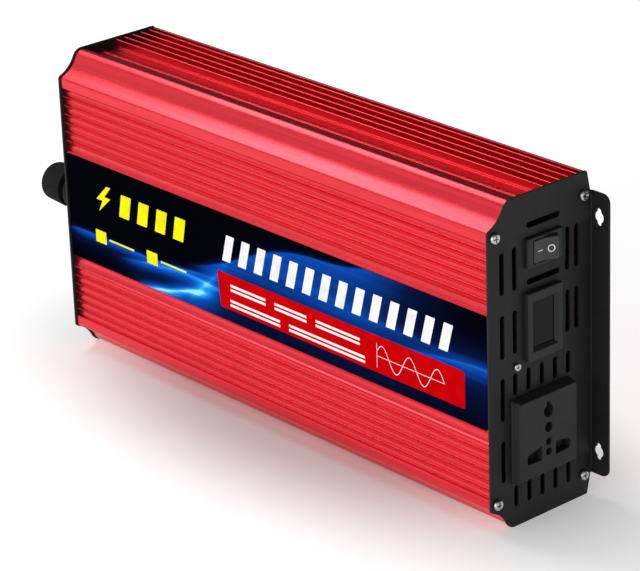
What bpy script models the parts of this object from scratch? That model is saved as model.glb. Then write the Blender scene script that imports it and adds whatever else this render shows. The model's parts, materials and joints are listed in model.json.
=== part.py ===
"""A wall-mountable DC to AC power inverter, built as an assembly of separate pieces.

The case stands on its long narrow side with the label facing -Y. The AC panel is at +X, the battery
terminals and fans are at -X, and the mounting flanges are at the back, +Y.

Shapes are given in case coordinates, in millimetres: x from mid-length, y from the front edges of
the end plates towards the back, z from mid-height. The empty named case carries them into the
part's frame, whose origin is the centre of the bottom of the part's box.
"""

import math

import bmesh
import bpy
from mathutils import Vector
from mathutils.geometry import tessellate_polygon

MM = 0.001
GAP = 0.3  # between pieces that touch

# Case
HALF_LENGTH = 166.5  # to the outer faces of the end plates
HALF_HEIGHT = 87.0
SHEET = 1.2
BACK = 72.0  # back faces of the mounting flanges
PLATE_INNER = HALF_LENGTH - SHEET
SHELL_END = PLATE_INNER - GAP
SHELL_INSET = 0.8  # the extrusions lie this far inside the plates' outline
SCREW_HOLE = 1.8

# Front outline: a rounded corner, a hollow and a rounded shoulder that meets the top, all tangent
CORNER = (2.4, 72.3)
CORNER_RADIUS = 2.4
CORNER_END = 112.0  # degrees
HOLLOW_RADIUS = 18.1
HOLLOW_TURN = 42.2

# Front cover
LAND = 1.3  # the flat land that carries the label
LAND_HALF = 31.0
CUSP = 0.9
FIRST_CUSP = 37.5
CUSP_PITCH = 5.1
CUSPS = 6
FLUTE_DEPTH = 2.1
COVER_INNER = 4.8
CHANNEL_FLOOR = 82.2
COVER_EDGE = 29.7  # where the cover ends in the channel behind the shoulder

# Back chassis
FIN_TIP = HALF_HEIGHT - SHELL_INSET
FIN_FLOOR = 80.8
FIN_HALF = 0.6
FIRST_FIN = 40.3
FIN_PITCH = 5.8
FINS = 5
CHASSIS_INNER = 78.6
BACK_OUTER = 69.8
BACK_INNER = 67.6

# End plates
BEND_START = 70.2
BEND_RADIUS = 1.8
NOTCH = 75.9  # half-height of the flange
FLANGE_END = 178.3
FLANGE_CORNER = 4.5
KEYHOLE = (171.5, 63.1)
FRONT_SCREW = (4.25, 70.3)
BACK_SCREW = (64.8, 75.2)

# AC panel, as (y, z) centres and half sizes
SWITCH = (37.0, 56.15)
SWITCH_BEZEL = (12.1, 7.85)
SWITCH_BODY = (10.8, 6.95)
SWITCH_WELL = (8.2, 6.15)
ROCKER_PIVOT = 165.5
ROCKER_TILT = -13.0
DISPLAY = (36.0, 18.0)
DISPLAY_BEZEL = (12.0, 18.0)
DISPLAY_BODY = (10.0, 16.0)
DISPLAY_WINDOW = (8.0, 12.6)
SOCKET = (34.6, -39.0)
SOCKET_BASE = (20.6, 22.7)
SOCKET_BASE_DROP = 1.2  # the base reaches further down than up
SOCKET_BODY = (19.6, 20.1)
SOCKET_FRONT = 172.5
SOCKET_FACE_BACK = 168.1
EARTH = 11.2  # above the socket's centre
LIVE_Z = -10.3  # middle of the line and neutral openings
PANEL_SCREW = (18.6, -0.9)

# DC end
FAN_Y = 35.5
FAN_Z = 46.0
FAN_HALF = 25.0
FAN_PITCH = 20.0  # half the spacing of the fan's screws
FAN_BORE = 23.7
FAN_BACK = -150.0
FAN_BLADES = 7
TERMINAL_Y = (18.0, 53.0)  # negative, positive
STUD = 4.0
COLLAR_END = -179.5
KNOB_START = -183.1
KNOB_END = -201.4
KNOB_RIBS = 20

# Inside
BOARD_FRONT = 58.0
BOARD = 1.6

CENTRE_X = (KNOB_END + FLANGE_END) / 2

AXES = {
    "x": lambda u, v, w: (w, u, v),
    "y": lambda u, v, w: (u, w, v),
    "z": lambda u, v, w: (u, v, w),
}


# Outlines, as lists of (u, v) points


def arc(centre, radius, start, end, steps):
    """Points on an arc, its angles in degrees, both ends included."""
    angles = [math.radians(start + (end - start) * i / steps) for i in range(steps + 1)]
    return [(centre[0] + radius * math.cos(a), centre[1] + radius * math.sin(a)) for a in angles]


def circle(centre, radius, steps):
    return arc(centre, radius, 0, 360, steps)[:-1]


def rectangle(centre, half, radius=0.0, steps=3):
    """A rectangle, its corners rounded if a radius is given."""
    (u, v), (du, dv) = centre, half
    corners = [(1, 1), (-1, 1), (-1, -1), (1, -1)]
    if not radius:
        return [(u + a * du, v + b * dv) for a, b in corners]
    points = []
    for turn, (a, b) in enumerate(corners):
        middle = (u + a * (du - radius), v + b * (dv - radius))
        points += arc(middle, radius, 90 * turn, 90 * turn + 90, steps)
    return points


def slot(start, end, width, steps=4):
    """A straight slot with round ends, from end to end."""
    along = math.degrees(math.atan2(end[1] - start[1], end[0] - start[0]))
    length = math.dist(start, end)
    reach = width / 2 / length
    near = [a + (b - a) * reach for a, b in zip(start, end)]
    far = [b + (a - b) * reach for a, b in zip(start, end)]
    return arc(far, width / 2, along - 90, along + 90, steps) + arc(
        near, width / 2, along + 90, along + 270, steps
    )


def mirrored(points):
    """The points below mid-height that match these above it, in the order that closes the outline."""
    return [(u, -v) for u, v in reversed(points)]


def around(centre, points):
    return [(centre[0] + u, centre[1] + v) for u, v in points]


def polar(centre, radius, degrees):
    return (
        centre[0] + radius * math.cos(math.radians(degrees)),
        centre[1] + radius * math.sin(math.radians(degrees)),
    )


HOLLOW = polar(CORNER, CORNER_RADIUS + HOLLOW_RADIUS, CORNER_END)
HOLLOW_END = CORNER_END + 180 + HOLLOW_TURN
HOLLOW_RISE = math.sin(math.radians(HOLLOW_END))
SHOULDER_RADIUS = (HALF_HEIGHT - HOLLOW[1] - HOLLOW_RADIUS * HOLLOW_RISE) / (1 + HOLLOW_RISE)
SHOULDER = polar(HOLLOW, HOLLOW_RADIUS + SHOULDER_RADIUS, HOLLOW_END)


def front_outline(inset):
    """The outline above mid-height from the front edge to the top, moved inwards by inset."""
    corner = arc(CORNER, CORNER_RADIUS - inset, 180, CORNER_END, 3)
    hollow = arc(HOLLOW, HOLLOW_RADIUS + inset, CORNER_END + 180, HOLLOW_END, 6)
    shoulder = arc(SHOULDER, SHOULDER_RADIUS - inset, HOLLOW_END - 180, 90, 5)
    return corner[:-1] + hollow[:-1] + shoulder


def flute(start, end, depth, steps=6):
    """The inner points of a concave flute between two (y, z) points, hollowed towards +y."""
    half = math.dist(start, end) / 2
    radius = (half * half + depth * depth) / (2 * depth)
    points = []
    for i in range(1, steps):
        along = -half + 2 * half * i / steps
        sag = math.sqrt(radius * radius - along * along) - (radius - depth)
        y = start[0] + (end[0] - start[0]) * i / steps
        z = start[1] + (end[1] - start[1]) * i / steps
        points.append((y + sag, z))
    return points


# Building solids


def add_loft(bm, axis, sections, holes=(), looped=False, open_edge=None):
    """Joins outlines of equal length, given as (w, outline), into a closed body.

    Holes run straight from the first section's cap to the last one's. A looped loft has no caps: its
    last outline joins its first. Each section's open_edge is left without a wall, for a fold.
    """
    place = AXES[axis]
    rings = [[bm.verts.new(place(u, v, w)) for u, v in outline] for w, outline in sections]
    count = len(rings[0])
    for first, second in zip(rings, rings[1:] + ([rings[0]] if looped else [])):
        for i in range(count):
            if i != open_edge:
                j = (i + 1) % count
                bm.faces.new((first[i], first[j], second[j], second[i]))
    if looped:
        return
    ends = []
    for ring, (w, outline) in ((rings[0], sections[0]), (rings[-1], sections[-1])):
        loops = [outline, *holes]
        verts = list(ring)
        hole_rings = []
        for hole in holes:
            hole_rings.append([bm.verts.new(place(u, v, w)) for u, v in hole])
            verts += hole_rings[-1]
        for triangle in tessellate_polygon([[Vector((u, v, 0)) for u, v in loop] for loop in loops]):
            bm.faces.new([verts[i] for i in triangle])
        ends.append(hole_rings)
    for first, second in zip(*ends):
        for i, vert in enumerate(first):
            j = (i + 1) % len(first)
            bm.faces.new((vert, first[j], second[j], second[i]))


def add_prism(bm, axis, low, high, outline, holes=(), open_edge=None):
    add_loft(bm, axis, [(low, outline), (high, outline)], holes, open_edge=open_edge)


def add_turned(bm, centre, profile, steps):
    """Turns a profile of (radius, x) points about an axis along X. It is capped where it ends."""
    looped = profile[0] == profile[-1]
    points = profile[:-1] if looped else profile
    add_loft(bm, "x", [(x, circle(centre, radius, steps)) for radius, x in points], looped=looped)


def material(name, color, roughness, metallic=0.0):
    made = bpy.data.materials.new(name)
    made.use_nodes = True
    shader = made.node_tree.nodes["Principled BSDF"]
    shader.inputs["Base Color"].default_value = (*color, 1.0)
    shader.inputs["Roughness"].default_value = roughness
    shader.inputs["Metallic"].default_value = metallic
    made.diffuse_color = (*color, 1.0)
    return made


def new_object(name, mesh, case, finish, origin=(0, 0, 0)):
    """An object of its own at origin, in case coordinates, with a material of its own."""
    piece = bpy.data.objects.new(name, mesh)
    bpy.context.scene.collection.objects.link(piece)
    piece.parent = case
    piece.location = Vector(origin) * MM
    if not mesh.materials:
        mesh.materials.append(None)
    piece.material_slots[0].link = "OBJECT"
    piece.material_slots[0].material = material(name, *finish)
    return piece


def to_mesh(name, bm, origin=(0, 0, 0), smooth_below=35):
    """Turns the shape into a mesh in metres, measured from origin, with its faces pointing out."""
    bmesh.ops.remove_doubles(bm, verts=bm.verts, dist=0.001)
    bmesh.ops.recalc_face_normals(bm, faces=bm.faces)
    for vert in bm.verts:
        vert.co = (vert.co - Vector(origin)) * MM
    mesh = bpy.data.meshes.new(name)
    bm.to_mesh(mesh)
    bm.free()
    mesh.shade_smooth()
    mesh.set_sharp_from_angle(angle=math.radians(smooth_below))
    return mesh


def solid(name, case, finish, bm, origin=(0, 0, 0)):
    return new_object(name, to_mesh(name, bm, origin), case, finish, origin)


def prism(name, case, finish, axis, low, high, outline, holes=()):
    bm = bmesh.new()
    add_prism(bm, axis, low, high, outline, holes)
    return solid(name, case, finish, bm)


# Finishes: colour, roughness, metallic

RED = ((0.55, 0.02, 0.03), 0.35, 0.7)
DEEP_RED = ((0.4, 0.012, 0.02), 0.4, 0.7)
BLACK_PAINT = ((0.02, 0.02, 0.021), 0.55, 0.0)
BLACK_PLASTIC = ((0.028, 0.028, 0.03), 0.5, 0.0)
RED_PLASTIC = ((0.5, 0.02, 0.02), 0.45, 0.0)
ZINC = ((0.7, 0.71, 0.73), 0.3, 1.0)
BRASS = ((0.72, 0.52, 0.22), 0.35, 1.0)
INK = ((0.01, 0.02, 0.06), 0.3, 0.0)
SMOKED = ((0.02, 0.015, 0.03), 0.1, 0.0)
GREEN_BOARD = ((0.02, 0.16, 0.06), 0.5, 0.0)
FERRITE = ((0.06, 0.06, 0.065), 0.7, 0.0)
TAPE = ((0.75, 0.6, 0.1), 0.5, 0.0)
COPPER = ((0.72, 0.35, 0.2), 0.35, 1.0)
SLEEVE = ((0.03, 0.05, 0.1), 0.4, 0.0)


# Case


def cover_outline():
    """The front cover's section: land, flutes, lip, shoulder and the channel's floor, then its inside."""
    outer = [(LAND, LAND_HALF - 0.7), (LAND + 0.4, LAND_HALF)]
    cusps = [FIRST_CUSP + CUSP_PITCH * i for i in range(CUSPS)]
    outer += flute(outer[-1], (CUSP, cusps[0]), 1.8)
    for z, above in zip(cusps, cusps[1:] + [67.7]):
        outer += [(CUSP, z - 0.12), (CUSP, z + 0.12)]
        outer += flute((CUSP, z + 0.12), (CUSP, above - 0.12), FLUTE_DEPTH)
    outer += [(CUSP + 0.1, 67.7), (CUSP - 0.05, 69.2)]
    outer += front_outline(SHELL_INSET)
    outer += [(17.4, FIN_TIP), (17.9, FIN_TIP - 0.6), (18.1, CHANNEL_FLOOR + 0.4), (18.6, CHANNEL_FLOOR)]
    ridge = CHANNEL_FLOOR + 0.5
    outer += [(COVER_EDGE - 1.3, CHANNEL_FLOOR), (COVER_EDGE - 1.0, ridge), (COVER_EDGE, ridge)]
    inner = [(COVER_EDGE, CHANNEL_FLOOR - 1.6)]
    inner += arc(HOLLOW, HOLLOW_RADIUS + SHELL_INSET + 1.8, 328.8, 311, 3)
    boss = FRONT_SCREW[0] + SCREW_HOLE + 1.8
    inner += [(boss, 73.6), (boss, 67.2), (COVER_INNER, 66.4)]
    half = outer + inner
    return half + mirrored(half)


def chassis_outline():
    """The back chassis's section: back wall, fins and channel, then its inside with board grooves."""
    outer = [(BACK_OUTER, NOTCH), (68.2, FIN_TIP), (67.0, FIN_TIP)]
    outer += [(66.7, FIN_TIP - 0.3), (66.7, FIN_FLOOR)]
    for i in reversed(range(FINS)):
        middle = FIRST_FIN + FIN_PITCH * i
        fin = [(FIN_HALF, FIN_TIP - 0.3), (0.3, FIN_TIP), (-0.3, FIN_TIP), (-FIN_HALF, FIN_TIP - 0.3)]
        outer += [(middle + FIN_HALF, FIN_FLOOR)] + [(middle + y, z) for y, z in fin]
        if i:
            outer.append((middle - FIN_HALF, FIN_FLOOR))
    floor = CHANNEL_FLOOR - 0.4
    tongue = CHANNEL_FLOOR - 1.6 - GAP
    outer += [(FIRST_FIN - FIN_HALF, floor + 0.6), (38.8, floor + 0.5), (38.7, floor)]
    outer += [(COVER_EDGE + 0.4, floor), (COVER_EDGE + 0.4, tongue), (24.0, tongue), (24.0, CHASSIS_INNER)]
    groove = BOARD_FRONT - GAP
    rib = CHASSIS_INNER - 3.0
    groove_floor = CHASSIS_INNER - 0.6
    groove_back = BOARD_FRONT + BOARD + GAP
    inner = [(groove - 1.3, CHASSIS_INNER), (groove - 1.3, rib), (groove, rib), (groove, groove_floor)]
    inner += [(groove_back, groove_floor), (groove_back, 73.5), (62.3, 71.3), (BACK_INNER, 71.3)]
    half = outer + inner
    return half + mirrored(half)


def plate_outline():
    """An end plate's outline, its last edge the one where the flange folds off."""
    half = [(BEND_START, NOTCH), (67.9, HALF_HEIGHT), *reversed(front_outline(0.0))]
    return half + mirrored(half)


def flange_outline(side):
    """The flange's (x, z) outline, its last edge the one that joins the fold."""
    end = FLANGE_END
    corner = (end - FLANGE_CORNER, NOTCH - FLANGE_CORNER)
    low = arc((corner[0], -corner[1]), FLANGE_CORNER, -90, 0, 4)
    high = arc(corner, FLANGE_CORNER, 0, 90, 4)
    points = [(PLATE_INNER + BEND_RADIUS, -NOTCH), *low, *high, (PLATE_INNER + BEND_RADIUS, NOTCH)]
    return [(side * x, z) for x, z in points]


def keyhole(side, z):
    """A round hole with a narrower slot above and below it."""
    x = side * KEYHOLE[0]
    radius, half_slot, reach = 3.1, 1.6, 4.7
    edge = math.degrees(math.asin(half_slot / radius))
    right = arc((x, z), radius, edge - 90, 90 - edge, 6)
    top = arc((x, z + reach - half_slot), half_slot, 0, 180, 4)
    left = arc((x, z), radius, 90 + edge, 270 - edge, 6)
    bottom = arc((x, z - reach + half_slot), half_slot, 180, 360, 4)
    return right + top + left + bottom


def plate_screws():
    return [(y, sign * z) for y, z in (FRONT_SCREW, BACK_SCREW) for sign in (1, -1)]


def end_plate(name, case, side, holes):
    """A plate with its mounting flange folded outwards at the back, as one bent sheet."""
    bm = bmesh.new()
    outline = plate_outline()
    screws = [circle(spot, SCREW_HOLE, 10) for spot in plate_screws()]
    inner, outer = side * PLATE_INNER, side * HALF_LENGTH
    add_prism(bm, "x", inner, outer, outline, screws + holes, open_edge=len(outline) - 1)
    flange = flange_outline(side)
    keyholes = [keyhole(side, sign * KEYHOLE[1]) for sign in (1, -1)]
    add_prism(bm, "y", BACK - SHEET, BACK, flange, keyholes, open_edge=len(flange) - 1)
    add_fold(bm, side)
    return solid(name, case, BLACK_PAINT, bm)


def add_fold(bm, side):
    """The quarter bend between plate and flange."""
    middle = (PLATE_INNER + BEND_RADIUS, BEND_START)
    arcs = [arc(middle, radius, 180, 90, 4) for radius in (BEND_RADIUS, BEND_RADIUS - SHEET)]
    rings = []
    for z in (-NOTCH, NOTCH):
        rings.append([[bm.verts.new((side * x, y, z)) for x, y in points] for points in arcs])
    (low_out, low_in), (high_out, high_in) = rings
    for i in range(4):
        bm.faces.new((low_out[i], low_out[i + 1], high_out[i + 1], high_out[i]))
        bm.faces.new((low_in[i], high_in[i], high_in[i + 1], low_in[i + 1]))
        bm.faces.new((low_out[i], low_in[i], low_in[i + 1], low_out[i + 1]))
        bm.faces.new((high_out[i], high_out[i + 1], high_in[i + 1], high_in[i]))


def ac_panel_holes():
    """The AC plate's ventilation slots and the cut-outs for switch, display and socket."""
    tall = [(9.3, 39.8, 60.4), (9.3, 6.4, 27.9), (9.3, -26.6, -5.2), (9.3, -59.8, -38.7)]
    tall += [(y, low, low + 21.2) for y in (17.9, 54.1, 60.5) for low in (39.8, 6.9)]
    holes = [slot((y, low - 0.5), (y, high + 0.7), 3.1) for y, low, high in tall]
    for i in range(5):
        y = 17.8 + 9.15 * i
        holes += [slot((y, -15.8), (y, -4.1), 3.0), slot((y, -76.0), (y, -64.6), 3.0)]
    holes += [slot((26.3, z), (48.9, z), 3.0) for z in (70.3, 41.0)]
    for centre, body in ((SWITCH, SWITCH_BODY), (DISPLAY, DISPLAY_BODY), (SOCKET, SOCKET_BODY)):
        holes.append(rectangle(centre, (body[0] + GAP, body[1] + GAP)))
    holes.append(circle(PANEL_SCREW, 1.5, 8))
    return holes


def dc_panel_holes():
    holes = []
    for z in (FAN_Z, -FAN_Z):
        holes.append(circle((FAN_Y, z), FAN_BORE, 32))
        holes += [circle(spot, SCREW_HOLE, 8) for spot in fan_corners(z)]
    holes += [circle((y, 0.0), 7.0, 20) for y in TERMINAL_Y]
    return holes


def fan_corners(z):
    return [(FAN_Y + a * FAN_PITCH, z + b * FAN_PITCH) for a in (1, -1) for b in (1, -1)]


def screw_mesh(name, head, rise, shank, length):
    """A cross-recess pan-head screw along +X, the underside of its head at the origin."""
    arm, half_arm = 0.62 * head, 0.16 * head
    quarter = [(arm, 0.0), (arm, half_arm), (half_arm, half_arm), (half_arm, arm)]
    cross = []
    for turn in range(4):
        cos, sin = (1, 0, -1, 0)[turn], (0, 1, 0, -1)[turn]
        cross += [(u * cos - v * sin, u * sin + v * cos) for u, v in quarter]
    sections = [(0.35 * rise, [(0.6 * u, 0.6 * v) for u, v in cross]), (rise, cross)]
    rounded = [(0.84, 0.9), (1.0, 0.45), (1.0, 0.0)]
    sections += [(rise * up, circle((0, 0), head * across, 16)) for across, up in rounded]
    sections += [(0.0, circle((0, 0), shank, 16)), (-length, circle((0, 0), shank * 0.8, 16))]
    bm = bmesh.new()
    add_loft(bm, "x", sections)
    return to_mesh(name, bm)


def place_screw(name, case, mesh, side, x, spot):
    screw = new_object(name, mesh, case, ZINC, (x, *spot))
    if side < 0:
        screw.rotation_euler = (0.0, 0.0, math.pi)
    return screw


def add_case(case):
    length = (-SHELL_END, SHELL_END)
    front_holes = [circle((FRONT_SCREW[0], sign * FRONT_SCREW[1]), SCREW_HOLE, 8) for sign in (1, -1)]
    prism("front_cover", case, RED, "x", *length, cover_outline(), front_holes)
    back_holes = [circle((BACK_SCREW[0], sign * BACK_SCREW[1]), SCREW_HOLE, 8) for sign in (1, -1)]
    prism("back_chassis", case, DEEP_RED, "x", *length, chassis_outline(), back_holes)
    label = rectangle((0, 0), (SHELL_END - 0.5, LAND_HALF - 0.7), 1.5)
    prism("front_label", case, INK, "y", LAND - GAP - 0.3, LAND - GAP, label)
    end_plate("ac_end_plate", case, 1, ac_panel_holes())
    end_plate("dc_end_plate", case, -1, dc_panel_holes())
    mesh = screw_mesh("plate_screw", 2.8, 1.9, 1.5, 9.0)
    for end, side in (("ac", 1), ("dc", -1)):
        for i, spot in enumerate(plate_screws()):
            place_screw(f"{end}_plate_screw_{i + 1}", case, mesh, side, side * (HALF_LENGTH + GAP), spot)
    small = screw_mesh("small_screw", 2.1, 1.3, 1.2, 6.0)
    place_screw("panel_screw", case, small, 1, HALF_LENGTH + GAP, PANEL_SCREW)


# AC panel


def add_switch(case):
    """A rocker switch: a housing with a well, and a rocker that tilts in it about a vertical axis."""
    front = HALF_LENGTH + GAP
    chamfered = (SWITCH_BEZEL[0] - 0.5, SWITCH_BEZEL[1] - 0.5)
    halves = (SWITCH_BODY, SWITCH_BEZEL, chamfered, SWITCH_WELL)
    body, bezel, edge, well = [rectangle(SWITCH, half, 0.8, 2) for half in halves]
    sections = [(152.0, body), (front, body), (front, bezel), (front + 1.2, bezel), (front + 1.8, edge)]
    sections += [(front + 1.8, well), (156.0, well)]
    bm = bmesh.new()
    add_loft(bm, "x", sections)
    solid("switch_housing", case, BLACK_PLASTIC, bm)

    face = [(3.5, 0.0), (4.4, 4.0), (5.1, 6.9), (4.7, 7.1), (0.0, 7.6), (-1.5, 7.3), (-5.5, 3.2)]
    outline = face + [(x, -y) for x, y in reversed(face[1:])]
    bm = bmesh.new()
    half = SWITCH_WELL[1] - 0.35
    add_prism(bm, "z", -half, half, outline)
    rocker = new_object("switch_rocker", to_mesh("switch_rocker", bm), case, BLACK_PLASTIC)
    rocker.location = Vector((ROCKER_PIVOT, *SWITCH)) * MM
    rocker.rotation_euler = (0.0, 0.0, math.radians(ROCKER_TILT))


def add_display(case):
    """A framed display: bezel, dark window set back in it, and the board behind."""
    front = HALF_LENGTH + GAP
    pocket = (DISPLAY_BODY[0] - 1.0, DISPLAY_BODY[1] - 1.4)
    face = front + 2.7
    ledge = face - 1.7
    bezel = (DISPLAY_BEZEL[0] - 0.4, DISPLAY_BEZEL[1] - 0.4)
    opening = (DISPLAY_WINDOW[0] + 0.3, DISPLAY_WINDOW[1] + 0.3)
    steps = [(160.0, DISPLAY_BODY), (front, DISPLAY_BODY), (front, DISPLAY_BEZEL)]
    steps += [(face - 0.4, DISPLAY_BEZEL), (face, bezel), (face, opening)]
    steps += [(ledge, DISPLAY_WINDOW), (ledge, pocket), (160.0, pocket)]
    bm = bmesh.new()
    add_loft(bm, "x", [(x, rectangle(DISPLAY, half, 0.6, 2)) for x, half in steps], looped=True)
    solid("display_bezel", case, BLACK_PLASTIC, bm)
    pane = rectangle(DISPLAY, (pocket[0] - GAP, pocket[1] - GAP))
    prism("display_window", case, SMOKED, "x", ledge - GAP - 1.2, ledge - GAP, pane)
    module = rectangle(DISPLAY, (pocket[0] - 1.5, pocket[1] - 2.0))
    bm = bmesh.new()
    add_loft(bm, "x", [(161.0, pane), (162.6, pane), (162.6, module), (165.6, module)])
    solid("display_board", case, GREEN_BOARD, bm)


def live_opening(sign):
    """The fan-shaped opening that takes a round, flat or slanted pin."""
    inner, outer = 4.9, 14.9
    points = [(inner, -14.0), (outer - 0.5, -13.5), (outer, -13.0)]
    points += [(outer, -9.3), (outer - 1.2, -8.4), (inner, -6.6)]
    if sign < 0:
        points = [(-u, v) for u, v in reversed(points)]
    return around(SOCKET, points)


def earth_opening():
    """A round hole with a narrow slot above it."""
    radius, half_slot = 3.2, 1.3
    edge = math.degrees(math.asin(half_slot / radius))
    round_part = arc((0, EARTH), radius, 90 + edge, 450 - edge, 14)
    top = [(half_slot, EARTH + 4.9), (-half_slot, EARTH + 4.9)]
    return around(SOCKET, round_part + top)


def socket_openings():
    rounds = [(2.4, 2.6), (-5.3, 1.9), (-10.8, 1.9)]
    holes = [circle((SOCKET[0], SOCKET[1] + v), radius, 12) for v, radius in rounds]
    return holes + [live_opening(1), live_opening(-1), earth_opening()]


def add_contact(name, case, centre, half, start):
    """A sprung brass strip folded round the way of a pin, open on one side."""
    outer = rectangle(centre, half, 0.8, 2)
    inner = rectangle(centre, (half[0] - 0.7, half[1] - 0.7))
    slit = 0.9
    top = centre[1] + half[1]
    left, right = centre[0] - slit, centre[0] + slit
    ring = [(left, top)] + outer[3:] + outer[:3] + [(right, top)]
    hollow = [(right, top - 0.7), inner[0], inner[3], inner[2], inner[1], (left, top - 0.7)]
    prism(name, case, BRASS, "x", 150.8, start, ring + hollow)


def add_socket(case):
    """A universal socket: face with pin openings, sliding shutter, three contacts and a rear housing."""
    front = HALF_LENGTH + GAP
    cavity = (SOCKET_BODY[0] - 1.8, SOCKET_BODY[1] - 1.8)
    steps = [(SOCKET_FACE_BACK, cavity, 0.0), (162.0, cavity, 0.0), (162.0, SOCKET_BODY, 0.0)]
    steps += [(front, SOCKET_BODY, 0.0), (front, SOCKET_BASE, SOCKET_BASE_DROP)]
    steps += [(front + 1.2, SOCKET_BASE, SOCKET_BASE_DROP), (SOCKET_FRONT - 0.5, (19.9, 21.1), 0.5)]
    steps += [(SOCKET_FRONT, (19.4, 20.6), 0.5)]
    bm = bmesh.new()
    y, z = SOCKET
    sections = [(x, rectangle((y, z - drop), half, 1.0, 3)) for x, half, drop in steps]
    add_loft(bm, "x", sections, socket_openings())
    solid("socket_face", case, BLACK_PLASTIC, bm)

    back = [(148.0, SOCKET_BODY), (161.7, SOCKET_BODY), (161.7, cavity), (150.0, cavity)]
    bm = bmesh.new()
    add_loft(bm, "x", [(x, rectangle(SOCKET, half, 1.0, 2)) for x, half in back])
    solid("socket_housing", case, BLACK_PLASTIC, bm)

    blade = [(15.6, -15.0), (15.6, -5.9), (4.2, -5.9), (4.2, -12.0)]
    shutter = around(SOCKET, blade + [(-u, v) for u, v in reversed(blade)])
    depth = (SOCKET_FACE_BACK - 1.6, SOCKET_FACE_BACK - 0.4)
    prism("socket_shutter", case, BLACK_PLASTIC, "x", *depth, shutter)

    add_contact("socket_contact_line", case, (y - 9.7, z + LIVE_Z), (5.2, 3.4), 165.8)
    add_contact("socket_contact_neutral", case, (y + 9.7, z + LIVE_Z), (5.2, 3.4), 165.8)
    add_contact("socket_contact_earth", case, (y, z + EARTH), (3.6, 4.2), SOCKET_FACE_BACK - 0.4)


# DC end


def add_fan(case, label, z):
    """A square fan: frame with four struts to the motor mount, rotor, finger guard and four screws."""
    centre = (FAN_Y, z)
    square = rectangle(centre, (FAN_HALF, FAN_HALF), 3.0, 3)
    corners = [circle(spot, 2.1, 8) for spot in fan_corners(z)]
    bm = bmesh.new()
    front = -PLATE_INNER + GAP
    add_prism(bm, "x", front, FAN_BACK, square, corners + [circle(centre, FAN_BORE, 32)])
    frame = solid(f"fan_frame_{label}", case, BLACK_PLASTIC, bm)
    bm = bmesh.new()
    windows = []
    for turn in range(4):
        start = 90 * turn + 45
        outside = arc(centre, FAN_BORE - 1.0, start + 4, start + 86, 7)
        windows.append(outside + arc(centre, 11.0, start + 82, start + 8, 4))
    add_prism(bm, "x", FAN_BACK - 2.5, FAN_BACK - 0.5, circle(centre, FAN_BORE + 0.6, 32), windows)
    spider = solid(f"fan_spider_{label}", case, BLACK_PLASTIC, bm)
    spider.hide_render = True
    spider.display_type = "WIRE"
    union = frame.modifiers.new("motor mount", "BOOLEAN")
    union.operation = "UNION"
    union.object = spider

    bm = bmesh.new()
    step = 360 / FAN_BLADES
    sections = []
    for i in range(5):
        twist = -9.0 * i
        outline = []
        for blade in range(FAN_BLADES):
            at = step * blade + twist
            outline += [polar((0, 0), 22.8, at - 1.6), polar((0, 0), 22.8, at + 1.6)]
            outline += arc((0, 0), 10.2, at + 4.5, at + step - 4.5, 3)
        sections.append((2.4 * i, outline))
    add_loft(bm, "x", sections)
    mesh = to_mesh("fan_rotor", bm, smooth_below=30)
    new_object(f"fan_rotor_{label}", mesh, case, BLACK_PLASTIC, (front + 0.8, *centre))

    ring = []
    for turn in range(4):
        middle = 90 * turn + 45
        ear = polar(centre, FAN_PITCH * math.sqrt(2), middle)
        ring += arc(centre, 24.4, middle - 80, middle - 10, 5) + arc(ear, 3.3, middle - 75, middle + 75, 4)
    openings = [circle(spot, SCREW_HOLE, 8) for spot in fan_corners(z)]
    for inner, outer in ((7.0, 12.1), (13.5, 17.9), (19.3, 23.0)):
        for turn in range(4):
            start = 90 * turn + 45
            lean, reach = math.degrees(0.8 / inner), math.degrees(0.8 / outer)
            window = arc(centre, outer, start + reach, start + 90 - reach, 5)
            openings.append(window + arc(centre, inner, start + 90 - lean, start + lean, 3))
    outside = -HALF_LENGTH - GAP
    prism(f"fan_guard_{label}", case, ZINC, "x", outside, outside - 1.6, ring, openings)


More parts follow.
